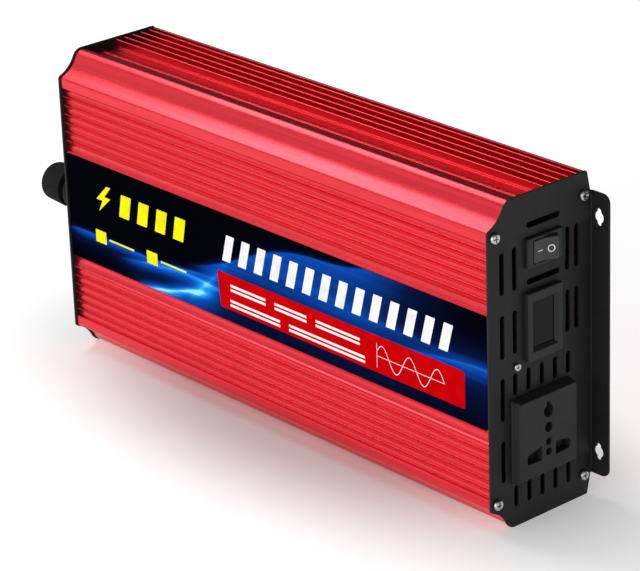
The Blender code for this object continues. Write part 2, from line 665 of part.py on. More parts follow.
def add_terminal(case, label, y, inner_end, finish):
    """A battery terminal: collar, threaded stud with its bus strip, clamp washer and knob."""
    centre = (y, 0.0)
    base = -HALF_LENGTH - GAP
    bore = STUD + GAP
    collar = [(bore, -162.0), (6.7, -162.0), (6.7, base), (12.2, base), (12.2, base - 2.0)]
    collar += [(11.6, base - 3.0), (11.4, COLLAR_END + 0.8), (10.7, COLLAR_END)]
    collar += [(bore, COLLAR_END), (bore, -162.0)]
    bm = bmesh.new()
    add_turned(bm, centre, collar, 20)
    solid(f"terminal_collar_{label}", case, finish, bm)

    flange = COLLAR_END - GAP
    tip = KNOB_START - 8.4
    stud = [(STUD, inner_end), (STUD, flange), (8.5, flange), (8.5, flange - 1.5)]
    stud += [(STUD, flange - 1.5), (STUD, tip + 0.7), (STUD - 0.7, tip)]
    bm = bmesh.new()
    add_turned(bm, centre, stud, 16)
    rod = solid(f"terminal_stud_{label}", case, BRASS, bm)
    # The strip runs back from the stud's inner end to the board's edge.
    depth = (y - 6.0, BOARD_FRONT - GAP)
    section = rectangle((inner_end - 1.0, 0.0), (1.2, 6.0))
    strip = prism(f"bus_strip_{label}", case, BRASS, "y", *depth, section)
    strip.hide_render = True
    strip.display_type = "WIRE"
    union = rod.modifiers.new("bus strip", "BOOLEAN")
    union.operation = "UNION"
    union.object = strip

    near, far = flange - 1.5 - GAP, KNOB_START + GAP
    ring = [(bore, near), (8.0, near), (8.0, far), (bore, far), (bore, near)]
    bm = bmesh.new()
    add_turned(bm, centre, ring, 20)
    solid(f"terminal_washer_{label}", case, ZINC, bm)

    points = 2 * KNOB_RIBS
    plain = circle((0, 0), 1.0, points)
    heights = [1.0 if i % 2 else 0.95 for i in range(points)]
    ribs = [(u * height, v * height) for (u, v), height in zip(plain, heights)]
    smooth = [(KNOB_START - 9.4, bore + 0.1), (KNOB_START, bore + 0.1), (KNOB_START, 10.9)]
    ribbed = [(KNOB_START - 0.5, 11.6), (KNOB_START - 6.0, 11.3)]
    ribbed += [(KNOB_END + 2.6, 10.8), (KNOB_END + 0.8, 9.6)]
    steps = [(x, radius, plain) for x, radius in smooth]
    steps += [(x, radius, ribs) for x, radius in ribbed] + [(KNOB_END, 7.6, plain)]
    sections = [(x - KNOB_START, [(u * r, v * r) for u, v in outline]) for x, r, outline in steps]
    bm = bmesh.new()
    add_loft(bm, "x", sections)
    mesh = to_mesh(f"terminal_knob_{label}", bm, smooth_below=20)
    new_object(f"terminal_knob_{label}", mesh, case, finish, (KNOB_START, *centre))


def add_dc_end(case):
    mesh = screw_mesh("fan_screw", 2.7, 1.8, 1.5, 14.0)
    outside = -HALF_LENGTH - 2 * GAP - 1.6
    for label, z in (("upper", FAN_Z), ("lower", -FAN_Z)):
        add_fan(case, label, z)
        for i, spot in enumerate(fan_corners(z)):
            place_screw(f"fan_screw_{label}_{i + 1}", case, mesh, -1, outside, spot)
    add_terminal(case, "negative", TERMINAL_Y[0], -150.0, BLACK_PLASTIC)
    add_terminal(case, "positive", TERMINAL_Y[1], -156.0, RED_PLASTIC)


# Inside


def add_electronics(case):
    """The main board in its grooves and what stands on it, towards the front cover."""
    foot = BOARD_FRONT - GAP
    board = rectangle((9.0, 0.0), (151.0, 77.3), 1.0, 1)
    prism("main_board", case, GREEN_BOARD, "y", BOARD_FRONT, BOARD_FRONT + BOARD, board)
    card = rectangle((112.0, 10.0), (0.8, 40.0))
    prism("control_board", case, GREEN_BOARD, "y", 26.0, foot, card)
    for i, x in enumerate((-92.0, -38.0)):
        windows = [rectangle((35.2, sign * 13.5), (12.8, 5.0)) for sign in (1, -1)]
        core = rectangle((36.0, 0.0), (21.4, 27.5))
        prism(f"transformer_core_{i + 1}", case, FERRITE, "x", x - 10.5, x + 10.5, core, windows)
        coil = rectangle((x, 0.0), (20.0, 18.0), 5.0, 3)
        leg = rectangle((x, 0.0), (10.9, 8.9))
        prism(f"transformer_winding_{i + 1}", case, TAPE, "y", 22.8, 47.6, coil, [leg])
    for i, z in enumerate((22.0, -22.0)):
        prism(f"bus_capacitor_{i + 1}", case, SLEEVE, "y", 16.0, foot, circle((18.0, z), 15.0, 20))
        prism(f"input_capacitor_{i + 1}", case, SLEEVE, "y", 24.0, foot, circle((-128.0, 1.8 * z), 9.0, 16))
    ring = [circle((74.0, -8.0), radius, 20) for radius in (21.0, 9.0)]
    prism("output_inductor", case, COPPER, "y", 34.0, foot, ring[0], [ring[1]])
    for label, sign in (("upper", 1), ("lower", -1)):
        add_transistors(case, label, sign)


def add_transistors(case, label, sign):
    """A row of power transistors on one clamp bar, against the chassis wall."""
    wall, bar, package = CHASSIS_INNER - GAP, 75.6, 71.2
    points = [(-134.0, wall), (-134.0, bar)]
    for i in range(11):
        x = -124.0 + 20.0 * i
        points += [(x - 7.8, bar), (x - 7.8, package), (x + 7.8, package), (x + 7.8, bar)]
    points += [(86.0, bar), (86.0, wall)]
    prism(f"transistor_row_{label}", case, FERRITE, "y", 30.0, 50.0, [(x, sign * z) for x, z in points])


def clear_scene():
    for old in list(bpy.data.objects):
        bpy.data.objects.remove(old, do_unlink=True)


def main():
    clear_scene()
    case = bpy.data.objects.new("case", None)
    case.location = Vector((-CENTRE_X, -BACK / 2, HALF_HEIGHT)) * MM
    bpy.context.scene.collection.objects.link(case)
    add_case(case)
    add_switch(case)
    add_display(case)
    add_socket(case)
    add_dc_end(case)
    add_electronics(case)


main()
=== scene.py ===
"""The power inverter's visible surface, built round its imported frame, with floor, lights and camera.

Shapes are given in case coordinates, in millimetres: x from mid-length, y from the front edges of
the end plates towards the back, z from mid-height.
"""

import json
import math

import bmesh
import bpy
from mathutils import Matrix, Vector
from mathutils.geometry import tessellate_polygon


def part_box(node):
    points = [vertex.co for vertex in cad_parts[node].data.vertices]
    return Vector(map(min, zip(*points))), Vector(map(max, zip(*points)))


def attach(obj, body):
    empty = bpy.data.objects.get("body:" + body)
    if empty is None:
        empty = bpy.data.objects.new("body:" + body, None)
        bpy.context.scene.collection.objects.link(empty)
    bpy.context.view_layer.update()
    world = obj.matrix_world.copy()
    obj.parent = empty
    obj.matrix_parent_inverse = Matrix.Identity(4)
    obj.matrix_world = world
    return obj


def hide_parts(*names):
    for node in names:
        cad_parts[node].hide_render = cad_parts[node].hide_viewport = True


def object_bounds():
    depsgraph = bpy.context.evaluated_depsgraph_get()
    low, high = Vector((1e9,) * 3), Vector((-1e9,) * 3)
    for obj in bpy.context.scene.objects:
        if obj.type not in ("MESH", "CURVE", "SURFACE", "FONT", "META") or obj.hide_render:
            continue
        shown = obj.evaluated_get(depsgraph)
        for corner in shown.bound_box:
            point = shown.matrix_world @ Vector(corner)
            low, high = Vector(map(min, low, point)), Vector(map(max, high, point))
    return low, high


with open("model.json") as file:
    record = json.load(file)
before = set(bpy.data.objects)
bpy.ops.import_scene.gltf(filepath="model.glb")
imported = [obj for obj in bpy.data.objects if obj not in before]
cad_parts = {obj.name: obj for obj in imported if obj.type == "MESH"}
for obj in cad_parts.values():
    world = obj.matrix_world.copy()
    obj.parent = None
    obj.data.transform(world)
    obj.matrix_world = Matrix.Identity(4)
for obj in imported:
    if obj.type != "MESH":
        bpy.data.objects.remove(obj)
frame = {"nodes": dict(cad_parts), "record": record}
CAD_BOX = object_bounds()

MM = 0.001
GAP = 0.3  # between pieces that touch

AC_PLATE, DC_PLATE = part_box("ac_end_plate"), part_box("dc_end_plate")
ORIGIN = Vector(((AC_PLATE[1].x + DC_PLATE[0].x) / 2, AC_PLATE[0].y, (AC_PLATE[0].z + AC_PLATE[1].z) / 2))


def low(node):
    """A node's lowest corner, in case coordinates."""
    return (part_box(node)[0] - ORIGIN) / MM


def high(node):
    return (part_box(node)[1] - ORIGIN) / MM


# Case
SHEET = 1.2
SHELL_END = high("front_cover").x
HALF_LENGTH = SHELL_END + GAP + SHEET  # to the outer faces of the end plates
END_FACE = HALF_LENGTH + GAP  # where fittings meet an end plate
HALF_HEIGHT = high("ac_end_plate").z
BACK = high("ac_end_plate").y
FLANGE_END = high("ac_end_plate").x
SHELL_INSET = 0.8
SCREW_HOLE = 1.8

CORNER = (2.4, 72.3)
CORNER_RADIUS = 2.4
CORNER_END = 112.0  # degrees
HOLLOW_RADIUS = 18.1
HOLLOW_TURN = 42.2

LAND = 1.3  # the flat land that carries the label
LAND_HALF = 31.0
CUSP = 0.9
FIRST_CUSP = 37.5
CUSP_PITCH = 5.1
CUSPS = 6
CUSP_RADIUS = 0.16
FLUTE_DEPTH = 2.1
COVER_INNER = 4.8
CHANNEL_FLOOR = 82.2
COVER_EDGE = high("front_cover").y

FIN_TIP = high("back_chassis").z
FIN_FLOOR = 80.8
FIN_HALF = 0.6
FIRST_FIN = 40.3
FIN_PITCH = 5.8
FINS = 5
CHASSIS_INNER = 78.6
BACK_OUTER = high("back_chassis").y
BACK_INNER = 67.6

BEND_START = 70.2
BEND_RADIUS = 1.8
NOTCH = 75.9  # half-height of the flange
FLANGE_CORNER = 4.5
KEYHOLE = (171.5, 63.1)
FRONT_SCREW = (4.25, 70.3)
BACK_SCREW = (64.8, 75.2)

# AC panel, as (y, z) centres and half sizes
SWITCH = (37.0, 56.15)
SWITCH_BEZEL = (12.1, 7.85)
SWITCH_BODY = (10.8, 6.95)
SWITCH_WELL = (8.2, 6.15)
ROCKER_PIVOT = 165.5
ROCKER_TILT = -13.0
DISPLAY = (36.0, 18.0)
DISPLAY_BEZEL = (12.0, 18.0)
DISPLAY_BODY = (10.0, 16.0)
DISPLAY_WINDOW = (8.0, 12.6)
SOCKET = (34.6, -39.0)
SOCKET_BASE = (20.6, 22.7)
SOCKET_BASE_DROP = 1.2  # the base reaches further down than up
SOCKET_BODY = (19.6, 20.1)
SOCKET_FRONT = high("socket_face").x
EARTH = 11.2
PANEL_SCREW = (18.6, -0.9)

# Screws: head radius, head height, shank radius, length
PLATE_SCREW = (2.8, 1.9, 1.5, 9.0)
SMALL_SCREW = (2.1, 1.3, 1.2, 6.0)
FAN_SCREW = (2.7, 1.8, 1.5, 14.0)

# Ventilation slots of the AC plate
TALL_SLOT_WIDTH = 3.1
SLOT_WIDTH = 3.0
FIRST_SHORT_SLOT = 17.8
SHORT_SLOT_PITCH = 9.15
SHORT_SLOTS = 5
SHORT_ROWS = ((-15.8, -4.1), (-76.0, -64.6))
CROSS_SLOT = (26.3, 48.9)
CROSS_ROWS = (70.3, 41.0)

# DC end
FAN_Y = 35.5
FAN_Z = 46.0
FAN_PITCH = 20.0
FAN_BORE = 23.7
FAN_BLADES = 7
BLADE_STEPS = 8
GRILLE_PLANE = 0.8  # plate to the wires' middles
GRILLE_RINGS = (7.2, 12.8, 18.6, 23.7)
GRILLE_EAR = 2.55
GRILLE_WIRE = 0.72
TERMINAL_Y = {"negative": 18.0, "positive": 53.0}
STUD = 4.0
COLLAR_END = low("terminal_collar_negative").x
KNOB_START = high("terminal_knob_negative").x
KNOB_END = low("terminal_knob_negative").x
KNOB_RIBS = 48

AXES = {
    "x": lambda u, v, w: (w, u, v),
    "y": lambda u, v, w: (u, w, v),
    "z": lambda u, v, w: (u, v, w),
}


# Materials


def new_material(name, color, roughness, metallic=0.0, specular=0.5):
    made = bpy.data.materials.new(name)
    made.use_nodes = True
    shader = made.node_tree.nodes["Principled BSDF"]
    shader.inputs["Base Color"].default_value = (*color, 1.0)
    shader.inputs["Roughness"].default_value = roughness
    shader.inputs["Metallic"].default_value = metallic
    shader.inputs["Specular IOR Level"].default_value = specular
    return made


def shader_of(made):
    return made.node_tree.nodes["Principled BSDF"]


def add_node(made, kind, settings=(), inputs=()):
    """A node with its settings, and with its inputs set or linked by name or number."""
    node = made.node_tree.nodes.new(kind)
    for key, value in dict(settings).items():
        setattr(node, key, value)
    for key, value in dict(inputs).items():
        if isinstance(value, bpy.types.NodeSocket):
            made.node_tree.links.new(value, node.inputs[key])
        else:
            node.inputs[key].default_value = value
    return node


def noise(made, scale, stretch=(1, 1, 1), detail=3.0):
    """Noise over the object, in blobs of about 1 / scale mm, longer along an axis where stretch is small."""
    place = add_node(made, "ShaderNodeTexCoord").outputs["Object"]
    size = [1000 * scale * s for s in stretch]
    mapping = add_node(made, "ShaderNodeMapping", {}, {"Vector": place, "Scale": size})
    inputs = {"Vector": mapping.outputs[0], "Scale": 1.0, "Detail": detail}
    return add_node(made, "ShaderNodeTexNoise", {}, inputs).outputs["Fac"]


def add_bump(made, height, depth):
    """Bumps as deep as depth, in millimetres."""
    bump = add_node(made, "ShaderNodeBump", {}, {"Height": height, "Distance": depth * MM, "Strength": 1.0})
    made.node_tree.links.new(bump.outputs[0], shader_of(made).inputs["Normal"])


def vary(made, socket, value, least, most):
    """Lets a socket range from least to most with a value from 0 to 1."""
    span = add_node(made, "ShaderNodeMapRange", {}, {"Value": value, "To Min": least, "To Max": most})
    made.node_tree.links.new(span.outputs[0], shader_of(made).inputs[socket])


def vary_color(made, value, stops):
    ramp = add_node(made, "ShaderNodeValToRGB", {}, {"Fac": value})
    elements = ramp.color_ramp.elements
    while len(elements) < len(stops):
        elements.new(0.5)
    for element, (position, color) in zip(elements, stops):
        element.position = position
        element.color = (*color, 1.0)
    made.node_tree.links.new(ramp.outputs[0], shader_of(made).inputs["Base Color"])


def anodised():
    """Satin red anodising over an extrusion's fine lengthwise die lines."""
    made = new_material("red_anodised", (0.8, 0.04, 0.055), 0.32, 0.9, 0.3)
    lines = noise(made, 4.0, (0.004, 1, 1), 4.0)
    vary(made, "Roughness", lines, 0.2, 0.32)
    tones = [(0.3, (0.74, 0.034, 0.05)), (0.7, (0.84, 0.048, 0.065))]
    vary_color(made, noise(made, 0.5, (0.02, 1, 1)), tones)
    add_bump(made, lines, 0.003)
    return made


def powder_coat():
    """Matt black powder coat with its fine orange-peel texture."""
    made = new_material("black_powder_coat", (0.014, 0.014, 0.0145), 0.55, 0.0, 0.22)
    grain = noise(made, 2.5, detail=5.0)
    vary(made, "Roughness", grain, 0.45, 0.62)
    vary_color(made, noise(made, 0.08), [(0.3, (0.012, 0.012, 0.0125)), (0.7, (0.016, 0.016, 0.0165))])
    add_bump(made, grain, 0.03)
    return made


def moulded(name, color, roughness, specular=0.4, grain_depth=0.02):
    """Moulded plastic with a fine spark-eroded grain."""
    made = new_material(name, color, roughness, 0.0, specular)
    grain = noise(made, 3.5, detail=4.0)
    vary(made, "Roughness", grain, roughness - 0.06, roughness + 0.08)
    dark, light = [c * 0.88 for c in color], [min(1.0, c * 1.12) for c in color]
    vary_color(made, noise(made, 0.12), [(0.3, dark), (0.7, light)])
    add_bump(made, grain, grain_depth)
    return made


def metal(name, color, roughness, stretch=(1, 1, 1)):
    """Bright metal with fine marks and a faint patchiness."""
    made = new_material(name, color, roughness, 1.0)
    vary(made, "Roughness", noise(made, 1.5, stretch), roughness - 0.08, roughness + 0.14)
    dark = [c * 0.8 for c in color]
    vary_color(made, noise(made, 0.4), [(0.3, dark), (0.7, color)])
    return made


def calc(made, operation, *values):
    node = add_node(made, "ShaderNodeMath", {"operation": operation}, enumerate(values))
    return node.outputs[0]


def vector_calc(made, operation, inputs, output=0):
    return add_node(made, "ShaderNodeVectorMath", {"operation": operation}, inputs).outputs[output]


def smooth_ramp(made, value, start, end):
    settings = {"interpolation_type": "SMOOTHSTEP"}
    inputs = {"Value": value, "From Min": start, "From Max": end}
    return add_node(made, "ShaderNodeMapRange", settings, inputs).outputs[0]


def glow(made, x, z, streak):
    """One streak of light: a wavy line that fades above, below and towards both ends."""
    height, slope, swing, turns, phase, above, below, start, end, strength = streak
    wave = calc(made, "MULTIPLY", calc(made, "SINE", calc(made, "MULTIPLY_ADD", x, turns, phase)), swing)
    line = calc(made, "ADD", calc(made, "MULTIPLY_ADD", x, slope, height), wave)
    off = calc(made, "SUBTRACT", z, line)
    up = calc(made, "DIVIDE", calc(made, "MAXIMUM", off, 0.0), above)
    down = calc(made, "DIVIDE", calc(made, "MAXIMUM", calc(made, "MULTIPLY", off, -1.0), 0.0), below)
    fall = calc(made, "EXPONENT", calc(made, "MULTIPLY", calc(made, "ADD", up, down), -1.0))
    rise = smooth_ramp(made, x, start[0], start[1])
    drop = smooth_ramp(made, x, end[1], end[0])
    ends = calc(made, "MULTIPLY", rise, drop)
    return calc(made, "MULTIPLY", calc(made, "MULTIPLY", fall, ends), strength)


# height, slope, swing, turns, phase, fade above, fade below, start, end, strength; in mm and radians
STREAKS = [
    (13.0, 0.27, 4.0, 0.05, 0.9, 0.8, 22.0, (-66, -38), (70, 160), 0.4),
    (-11.4, 0.19, 1.0, 0.1, 0.6, 2.0, 4.0, (-116, -84), (-64, -36), 1.1),
    (28.3, 0.9, 0.6, 0.2, 0.0, 3.0, 9.0, (-70, -50), (-46, -24), 0.34),
    (-8.5, 0.035, 1.2, 0.05, 3.0, 0.7, 3.2, (-176, -150), (-62, -36), 0.5),
    (-14.5, 0.03, 3.0, 0.04, 4.2, 1.0, 3.4, (-130, -95), (-50, -24), 0.5),
    (8.0, -0.02, 3.0, 0.024, 2.2, 5.0, 16.0, (-30, 40), (165, 260), 0.2),
    (3.0, -0.03, 4.0, 0.04, 1.0, 0.9, 4.5, (60, 130), (200, 300), 0.32),
]


def printed_film():
    """Black film printed with streaks of blue light."""
    made = new_material("label_film", (0.0, 0.0, 0.0), 0.3, 0.0, 0.0)
    place = add_node(made, "ShaderNodeTexCoord").outputs["Object"]
    start = [-c for c in ORIGIN]
    moved = vector_calc(made, "ADD", {0: place, 1: start})
    sized = vector_calc(made, "SCALE", {0: moved, "Scale": 1000.0})
    split = add_node(made, "ShaderNodeSeparateXYZ", {}, {0: sized})
    x, z = split.outputs[0], split.outputs[2]
    total = 0.0
    for streak in STREAKS:
        total = calc(made, "ADD", glow(made, x, z, streak), total)
    fibres = noise(made, 0.35, (0.05, 1, 1))
    total = calc(made, "MULTIPLY", total, calc(made, "MULTIPLY_ADD", fibres, 0.8, 0.6))
    stops = [(0.0, (0.001, 0.001, 0.003)), (0.12, (0.002, 0.008, 0.05)), (0.45, (0.004, 0.08, 0.5))]
    vary_color(made, total, stops + [(0.8, (0.02, 0.35, 0.95)), (1.0, (0.3, 0.85, 1.0))])
    return made


def ink(name, color):
    return moulded(name, color, 0.5, 0.0, 0.003)


def smoked():
    """A smoked, glossy display window, a little purple."""
    made = new_material("smoked_pane", (0.0035, 0.002, 0.0045), 0.12, 0.0, 0.12)
    vary(made, "Roughness", noise(made, 0.2), 0.08, 0.18)
    return made


def board():
    """Green solder mask over faint copper tracks."""
    made = new_material("circuit_board", (0.015, 0.14, 0.05), 0.4)
    tracks = noise(made, 0.25, (1, 0.15, 1), 0.0)
    vary_color(made, tracks, [(0.48, (0.01, 0.1, 0.035)), (0.52, (0.02, 0.17, 0.06))])
    add_bump(made, tracks, 0.03)
    return made


FINISHES = {
    "red_anodised": anodised(),
    "black_powder_coat": powder_coat(),
    "label_film": printed_film(),
    "zinc_plate": metal("zinc_plate", (0.56, 0.6, 0.62), 0.26),
    "brass": metal("brass", (0.78, 0.56, 0.24), 0.32),
    "copper_wire": metal("copper_wire", (0.72, 0.3, 0.14), 0.35, (1, 1, 0.1)),
    "switch_plastic": moulded("switch_plastic", (0.017, 0.017, 0.0175), 0.42, 0.25),
    "bezel_plastic": moulded("bezel_plastic", (0.02, 0.02, 0.021), 0.46, 0.25),
    "rocker_face": moulded("rocker_face", (0.036, 0.036, 0.035), 0.4, 0.4, 0.05),
    "socket_plastic": moulded("socket_plastic", (0.022, 0.022, 0.023), 0.5, 0.2),
    "fan_plastic": moulded("fan_plastic", (0.022, 0.022, 0.023), 0.45),
    "terminal_black": moulded("terminal_black", (0.006, 0.006, 0.0065), 0.55, 0.1),
    "terminal_red": moulded("terminal_red", (0.5, 0.015, 0.018), 0.4),
    "smoked_pane": smoked(),
    "circuit_board": board(),
    "ferrite": moulded("ferrite", (0.05, 0.05, 0.054), 0.7, 0.3, 0.05),
    "winding_tape": moulded("winding_tape", (0.72, 0.55, 0.08), 0.4),
    "capacitor_sleeve": moulded("capacitor_sleeve", (0.02, 0.035, 0.08), 0.3),
    "transistor_plastic": moulded("transistor_plastic", (0.03, 0.03, 0.032), 0.5),
    "banner_ink": ink("banner_ink", (0.56, 0.001, 0.003)),
    "white_ink": ink("white_ink", (0.9, 0.9, 0.9)),
    "yellow_ink": ink("yellow_ink", (0.9, 0.85, 0.01)),
}


# Outlines, as lists of (u, v) points


def arc(centre, radius, start, end, steps):
    """Points on an arc, its angles in degrees, both ends included."""
    angles = [math.radians(start + (end - start) * i / steps) for i in range(steps + 1)]
    return [(centre[0] + radius * math.cos(a), centre[1] + radius * math.sin(a)) for a in angles]


def circle(centre, radius, steps=48):
    return arc(centre, radius, 0, 360, steps)[:-1]


def rectangle(centre, half, radius=0.0, steps=6):
    """A rectangle, its corners rounded if a radius is given."""
    (u, v), (du, dv) = centre, half
    corners = [(1, 1), (-1, 1), (-1, -1), (1, -1)]
    if not radius:
        return [(u + a * du, v + b * dv) for a, b in corners]
    points = []
    for turn, (a, b) in enumerate(corners):
        middle = (u + a * (du - radius), v + b * (dv - radius))
        points += arc(middle, radius, 90 * turn, 90 * turn + 90, steps)
    return points


def slot(start, end, width, steps=12):
    """A straight slot with round ends, from end to end."""
    along = math.degrees(math.atan2(end[1] - start[1], end[0] - start[0]))
    reach = width / 2 / math.dist(start, end)
    near = [a + (b - a) * reach for a, b in zip(start, end)]
    far = [b + (a - b) * reach for a, b in zip(start, end)]
    return arc(far, width / 2, along - 90, along + 90, steps) + arc(
        near, width / 2, along + 90, along + 270, steps
    )


def mirrored(points):
    """The points below mid-height that match these above it, in the order that closes the outline."""
    return [(u, -v) for u, v in reversed(points)]


def around(centre, points):
    return [(centre[0] + u, centre[1] + v) for u, v in points]


def polar(centre, radius, degrees):
    return (
        centre[0] + radius * math.cos(math.radians(degrees)),
        centre[1] + radius * math.sin(math.radians(degrees)),
    )


def softened(corners, steps=4):
    """An outline whose corners, given as (u, v, reach), are rounded from reach before to reach after."""
    points = []
    for i, (u, v, reach) in enumerate(corners):
        if not reach:
            points.append((u, v))
            continue
        here = Vector((u, v))
        before = Vector(corners[i - 1][:2])
        after = Vector(corners[(i + 1) % len(corners)][:2])
        start = here + (before - here).normalized() * reach
        end = here + (after - here).normalized() * reach
        for step in range(steps + 1):
            t = step / steps
            point = start * (1 - t) ** 2 + here * 2 * t * (1 - t) + end * t * t
            points.append(tuple(point))
    return points


def turned_left(points):
    """The outline in counterclockwise order."""
    area = sum(a[0] * b[1] - b[0] * a[1] for a, b in zip(points, points[1:] + points[:1]))
    return points if area > 0 else points[::-1]


def inset(points, distance, fixed=()):
    """An outline moved to its left by distance, except for the fixed points."""
    moved = []
    for i, (u, v) in enumerate(points):
        here = Vector((u, v))
        before = here - Vector(points[i - 1])
        after = Vector(points[(i + 1) % len(points)]) - here
        first = Vector((-before.y, before.x)).normalized()
        second = Vector((-after.y, after.x)).normalized()
        shift = (first + second) / (1 + first.dot(second)) * distance
        moved.append((u, v) if i in fixed else tuple(here + shift))
    return moved


def rimmed(points, low_w, high_w, rim, fixed=(), steps=3):
    """Sections of a straight wall whose two rims are rounded off towards the outline's left."""
    turns = [math.radians(90 * i / steps) for i in range(steps + 1)]
    bends = [(rim * (1 - math.cos(turn)), rim * (1 - math.sin(turn))) for turn in turns]
    side = 1 if high_w > low_w else -1
    first = [(low_w + side * along, inset(points, in_by, fixed)) for along, in_by in bends]
    last = [(high_w - side * along, inset(points, in_by, fixed)) for along, in_by in reversed(bends)]
    return first + last


# Building meshes


def add_loft(bm, axis, sections, holes=(), looped=False, open_edge=None):
    """Joins outlines of equal length, given as (w, outline), into a closed body.

    A hole is a list of sections of its own, from the first cap to the last. A looped loft has no
    caps. Each section's open_edge is left without a wall, for a fold.
    """
    place = AXES[axis]

    def add_walls(rings, skipped=None):
        for first, second in zip(rings, rings[1:]):
            for i in range(len(first)):
                if i != skipped:
                    j = (i + 1) % len(first)
                    bm.faces.new((first[i], first[j], second[j], second[i]))

    def ring_of(section):
        return [bm.verts.new(place(u, v, section[0])) for u, v in section[1]]

    rings = [ring_of(section) for section in sections]
    add_walls(rings + ([rings[0]] if looped else []), open_edge)
    if looped:
        return
    hole_rings = [[ring_of(section) for section in hole] for hole in holes]
    for hole in hole_rings:
        add_walls(hole)
    for end in (0, -1):
        loops = [sections[end][1]] + [hole[end][1] for hole in holes]
        verts = rings[end] + [vert for hole in hole_rings for vert in hole[end]]
        for triangle in tessellate_polygon([[Vector((u, v, 0)) for u, v in loop] for loop in loops]):
            bm.faces.new([verts[i] for i in triangle])


def add_sheet(bm, axis, low_w, high_w, outline, holes=(), rim=0.2, open_edge=None):
    """A flat sheet with rounded rims on its outline and round its holes."""
    fixed = () if open_edge is None else (open_edge, (open_edge + 1) % len(outline))
    sections = rimmed(outline, low_w, high_w, rim, fixed)
    cut = [rimmed(turned_left(hole)[::-1], low_w, high_w, rim) for hole in holes]
    add_loft(bm, axis, sections, cut, open_edge=open_edge)


def add_turned(bm, centre, profile, steps=64):
    """Turns a profile of (radius, x) points about an axis along X. It is capped where it ends."""
    looped = profile[0] == profile[-1]
    points = profile[:-1] if looped else profile
    sections = [(x, circle(centre, radius, steps)) for radius, x in points]
    add_loft(bm, "x", sections, looped=looped)


def to_mesh(name, bm, sharp_above=32):
    """Turns the shape, in mm, into a smooth-shaded mesh in metres with its faces pointing out."""
    bmesh.ops.remove_doubles(bm, verts=bm.verts, dist=0.002)
    bmesh.ops.recalc_face_normals(bm, faces=bm.faces)
    bmesh.ops.scale(bm, vec=(MM, MM, MM), verts=bm.verts)
    mesh = bpy.data.meshes.new(name)
    bm.to_mesh(mesh)
    bm.free()
    mesh.shade_smooth()
    mesh.set_sharp_from_angle(angle=math.radians(sharp_above))
    return mesh


def place(name, mesh, finish, spot=(0, 0, 0), body="inverter", replaces=(), turn=0.0, slot_name=None):
    """Puts a mesh at a spot in case coordinates, turned about Z by degrees, to ride on a body."""
    made = bpy.data.objects.new(name, mesh)
    bpy.context.scene.collection.objects.link(made)
    if not mesh.materials:
        mesh.materials.append(FINISHES[finish])
    turned = Matrix.Rotation(math.radians(turn), 4, "Z")
    made.matrix_world = Matrix.Translation(ORIGIN + Vector(spot) * MM) @ turned
    weighted = made.modifiers.new("flat faces stay flat", "WEIGHTED_NORMAL")
    weighted.keep_sharp = True
    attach(made, body)
    slot_name or finish
    if replaces:
        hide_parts(*replaces)
    return made


# Case


HOLLOW = polar(CORNER, CORNER_RADIUS + HOLLOW_RADIUS, CORNER_END)
HOLLOW_END = CORNER_END + 180 + HOLLOW_TURN
HOLLOW_RISE = math.sin(math.radians(HOLLOW_END))
SHOULDER_RADIUS = (HALF_HEIGHT - HOLLOW[1] - HOLLOW_RADIUS * HOLLOW_RISE) / (1 + HOLLOW_RISE)
SHOULDER = polar(HOLLOW, HOLLOW_RADIUS + SHOULDER_RADIUS, HOLLOW_END)


def front_outline(inset_by):
    """The outline above mid-height from the front edge to the top: corner, hollow and shoulder."""
    corner = arc(CORNER, CORNER_RADIUS - inset_by, 180, CORNER_END, 10)
    hollow = arc(HOLLOW, HOLLOW_RADIUS + inset_by, CORNER_END + 180, HOLLOW_END, 20)
    shoulder = arc(SHOULDER, SHOULDER_RADIUS - inset_by, HOLLOW_END - 180, 90, 20)
    return corner[:-1] + hollow[:-1] + shoulder


def flute(start, end, depth, steps=16):
    """The points of a concave flute between two (y, z) points, hollowed towards +y."""
    half = math.dist(start, end) / 2
    radius = (half * half + depth * depth) / (2 * depth)
    points = []
    for i in range(1, steps):
        along = -half + 2 * half * i / steps
        sag = math.sqrt(radius * radius - along * along) - (radius - depth)
        y = start[0] + (end[0] - start[0]) * i / steps
        z = start[1] + (end[1] - start[1]) * i / steps
        points.append((y + sag, z))
    return points


def cover_outline():
    """The front cover's section: land, flutes, lip, shoulder and the channel's floor, then its inside."""
    outer = [(LAND, LAND_HALF - 0.9), (LAND + 0.1, LAND_HALF - 0.4), (LAND + 0.4, LAND_HALF)]
    cusps = [FIRST_CUSP + CUSP_PITCH * i for i in range(CUSPS)]
    for i, z in enumerate(cusps):
        tip = arc((CUSP + CUSP_RADIUS, z), CUSP_RADIUS, 240, 120, 6)
        outer += flute(outer[-1], tip[0], FLUTE_DEPTH if i else 1.8) + tip
    lip = (CUSP + 0.1, 67.7)
    outer += flute(outer[-1], lip, FLUTE_DEPTH) + [lip, (CUSP, 68.1), (CUSP - 0.05, 69.2)]
    outer += front_outline(SHELL_INSET)
    ridge = CHANNEL_FLOOR + 0.5
    channel = [(17.75, FIN_TIP, 0.3), (18.1, CHANNEL_FLOOR, 0.5), (COVER_EDGE - 1.2, CHANNEL_FLOOR, 0.1)]
    channel += [(COVER_EDGE - 1.0, ridge, 0.1), (COVER_EDGE, ridge, 0.15)]
    channel.append((COVER_EDGE, CHANNEL_FLOOR - 1.6, 0))
    outer += softened([(*outer[-1], 0), *channel])[1:]
    inner = arc(HOLLOW, HOLLOW_RADIUS + SHELL_INSET + 1.8, 328.8, 311, 8)
    boss = FRONT_SCREW[0] + SCREW_HOLE + 1.8
    inner += [(boss, 73.6), (boss, 67.2), (COVER_INNER, 66.4)]
    half = outer + inner
    return half + mirrored(half)


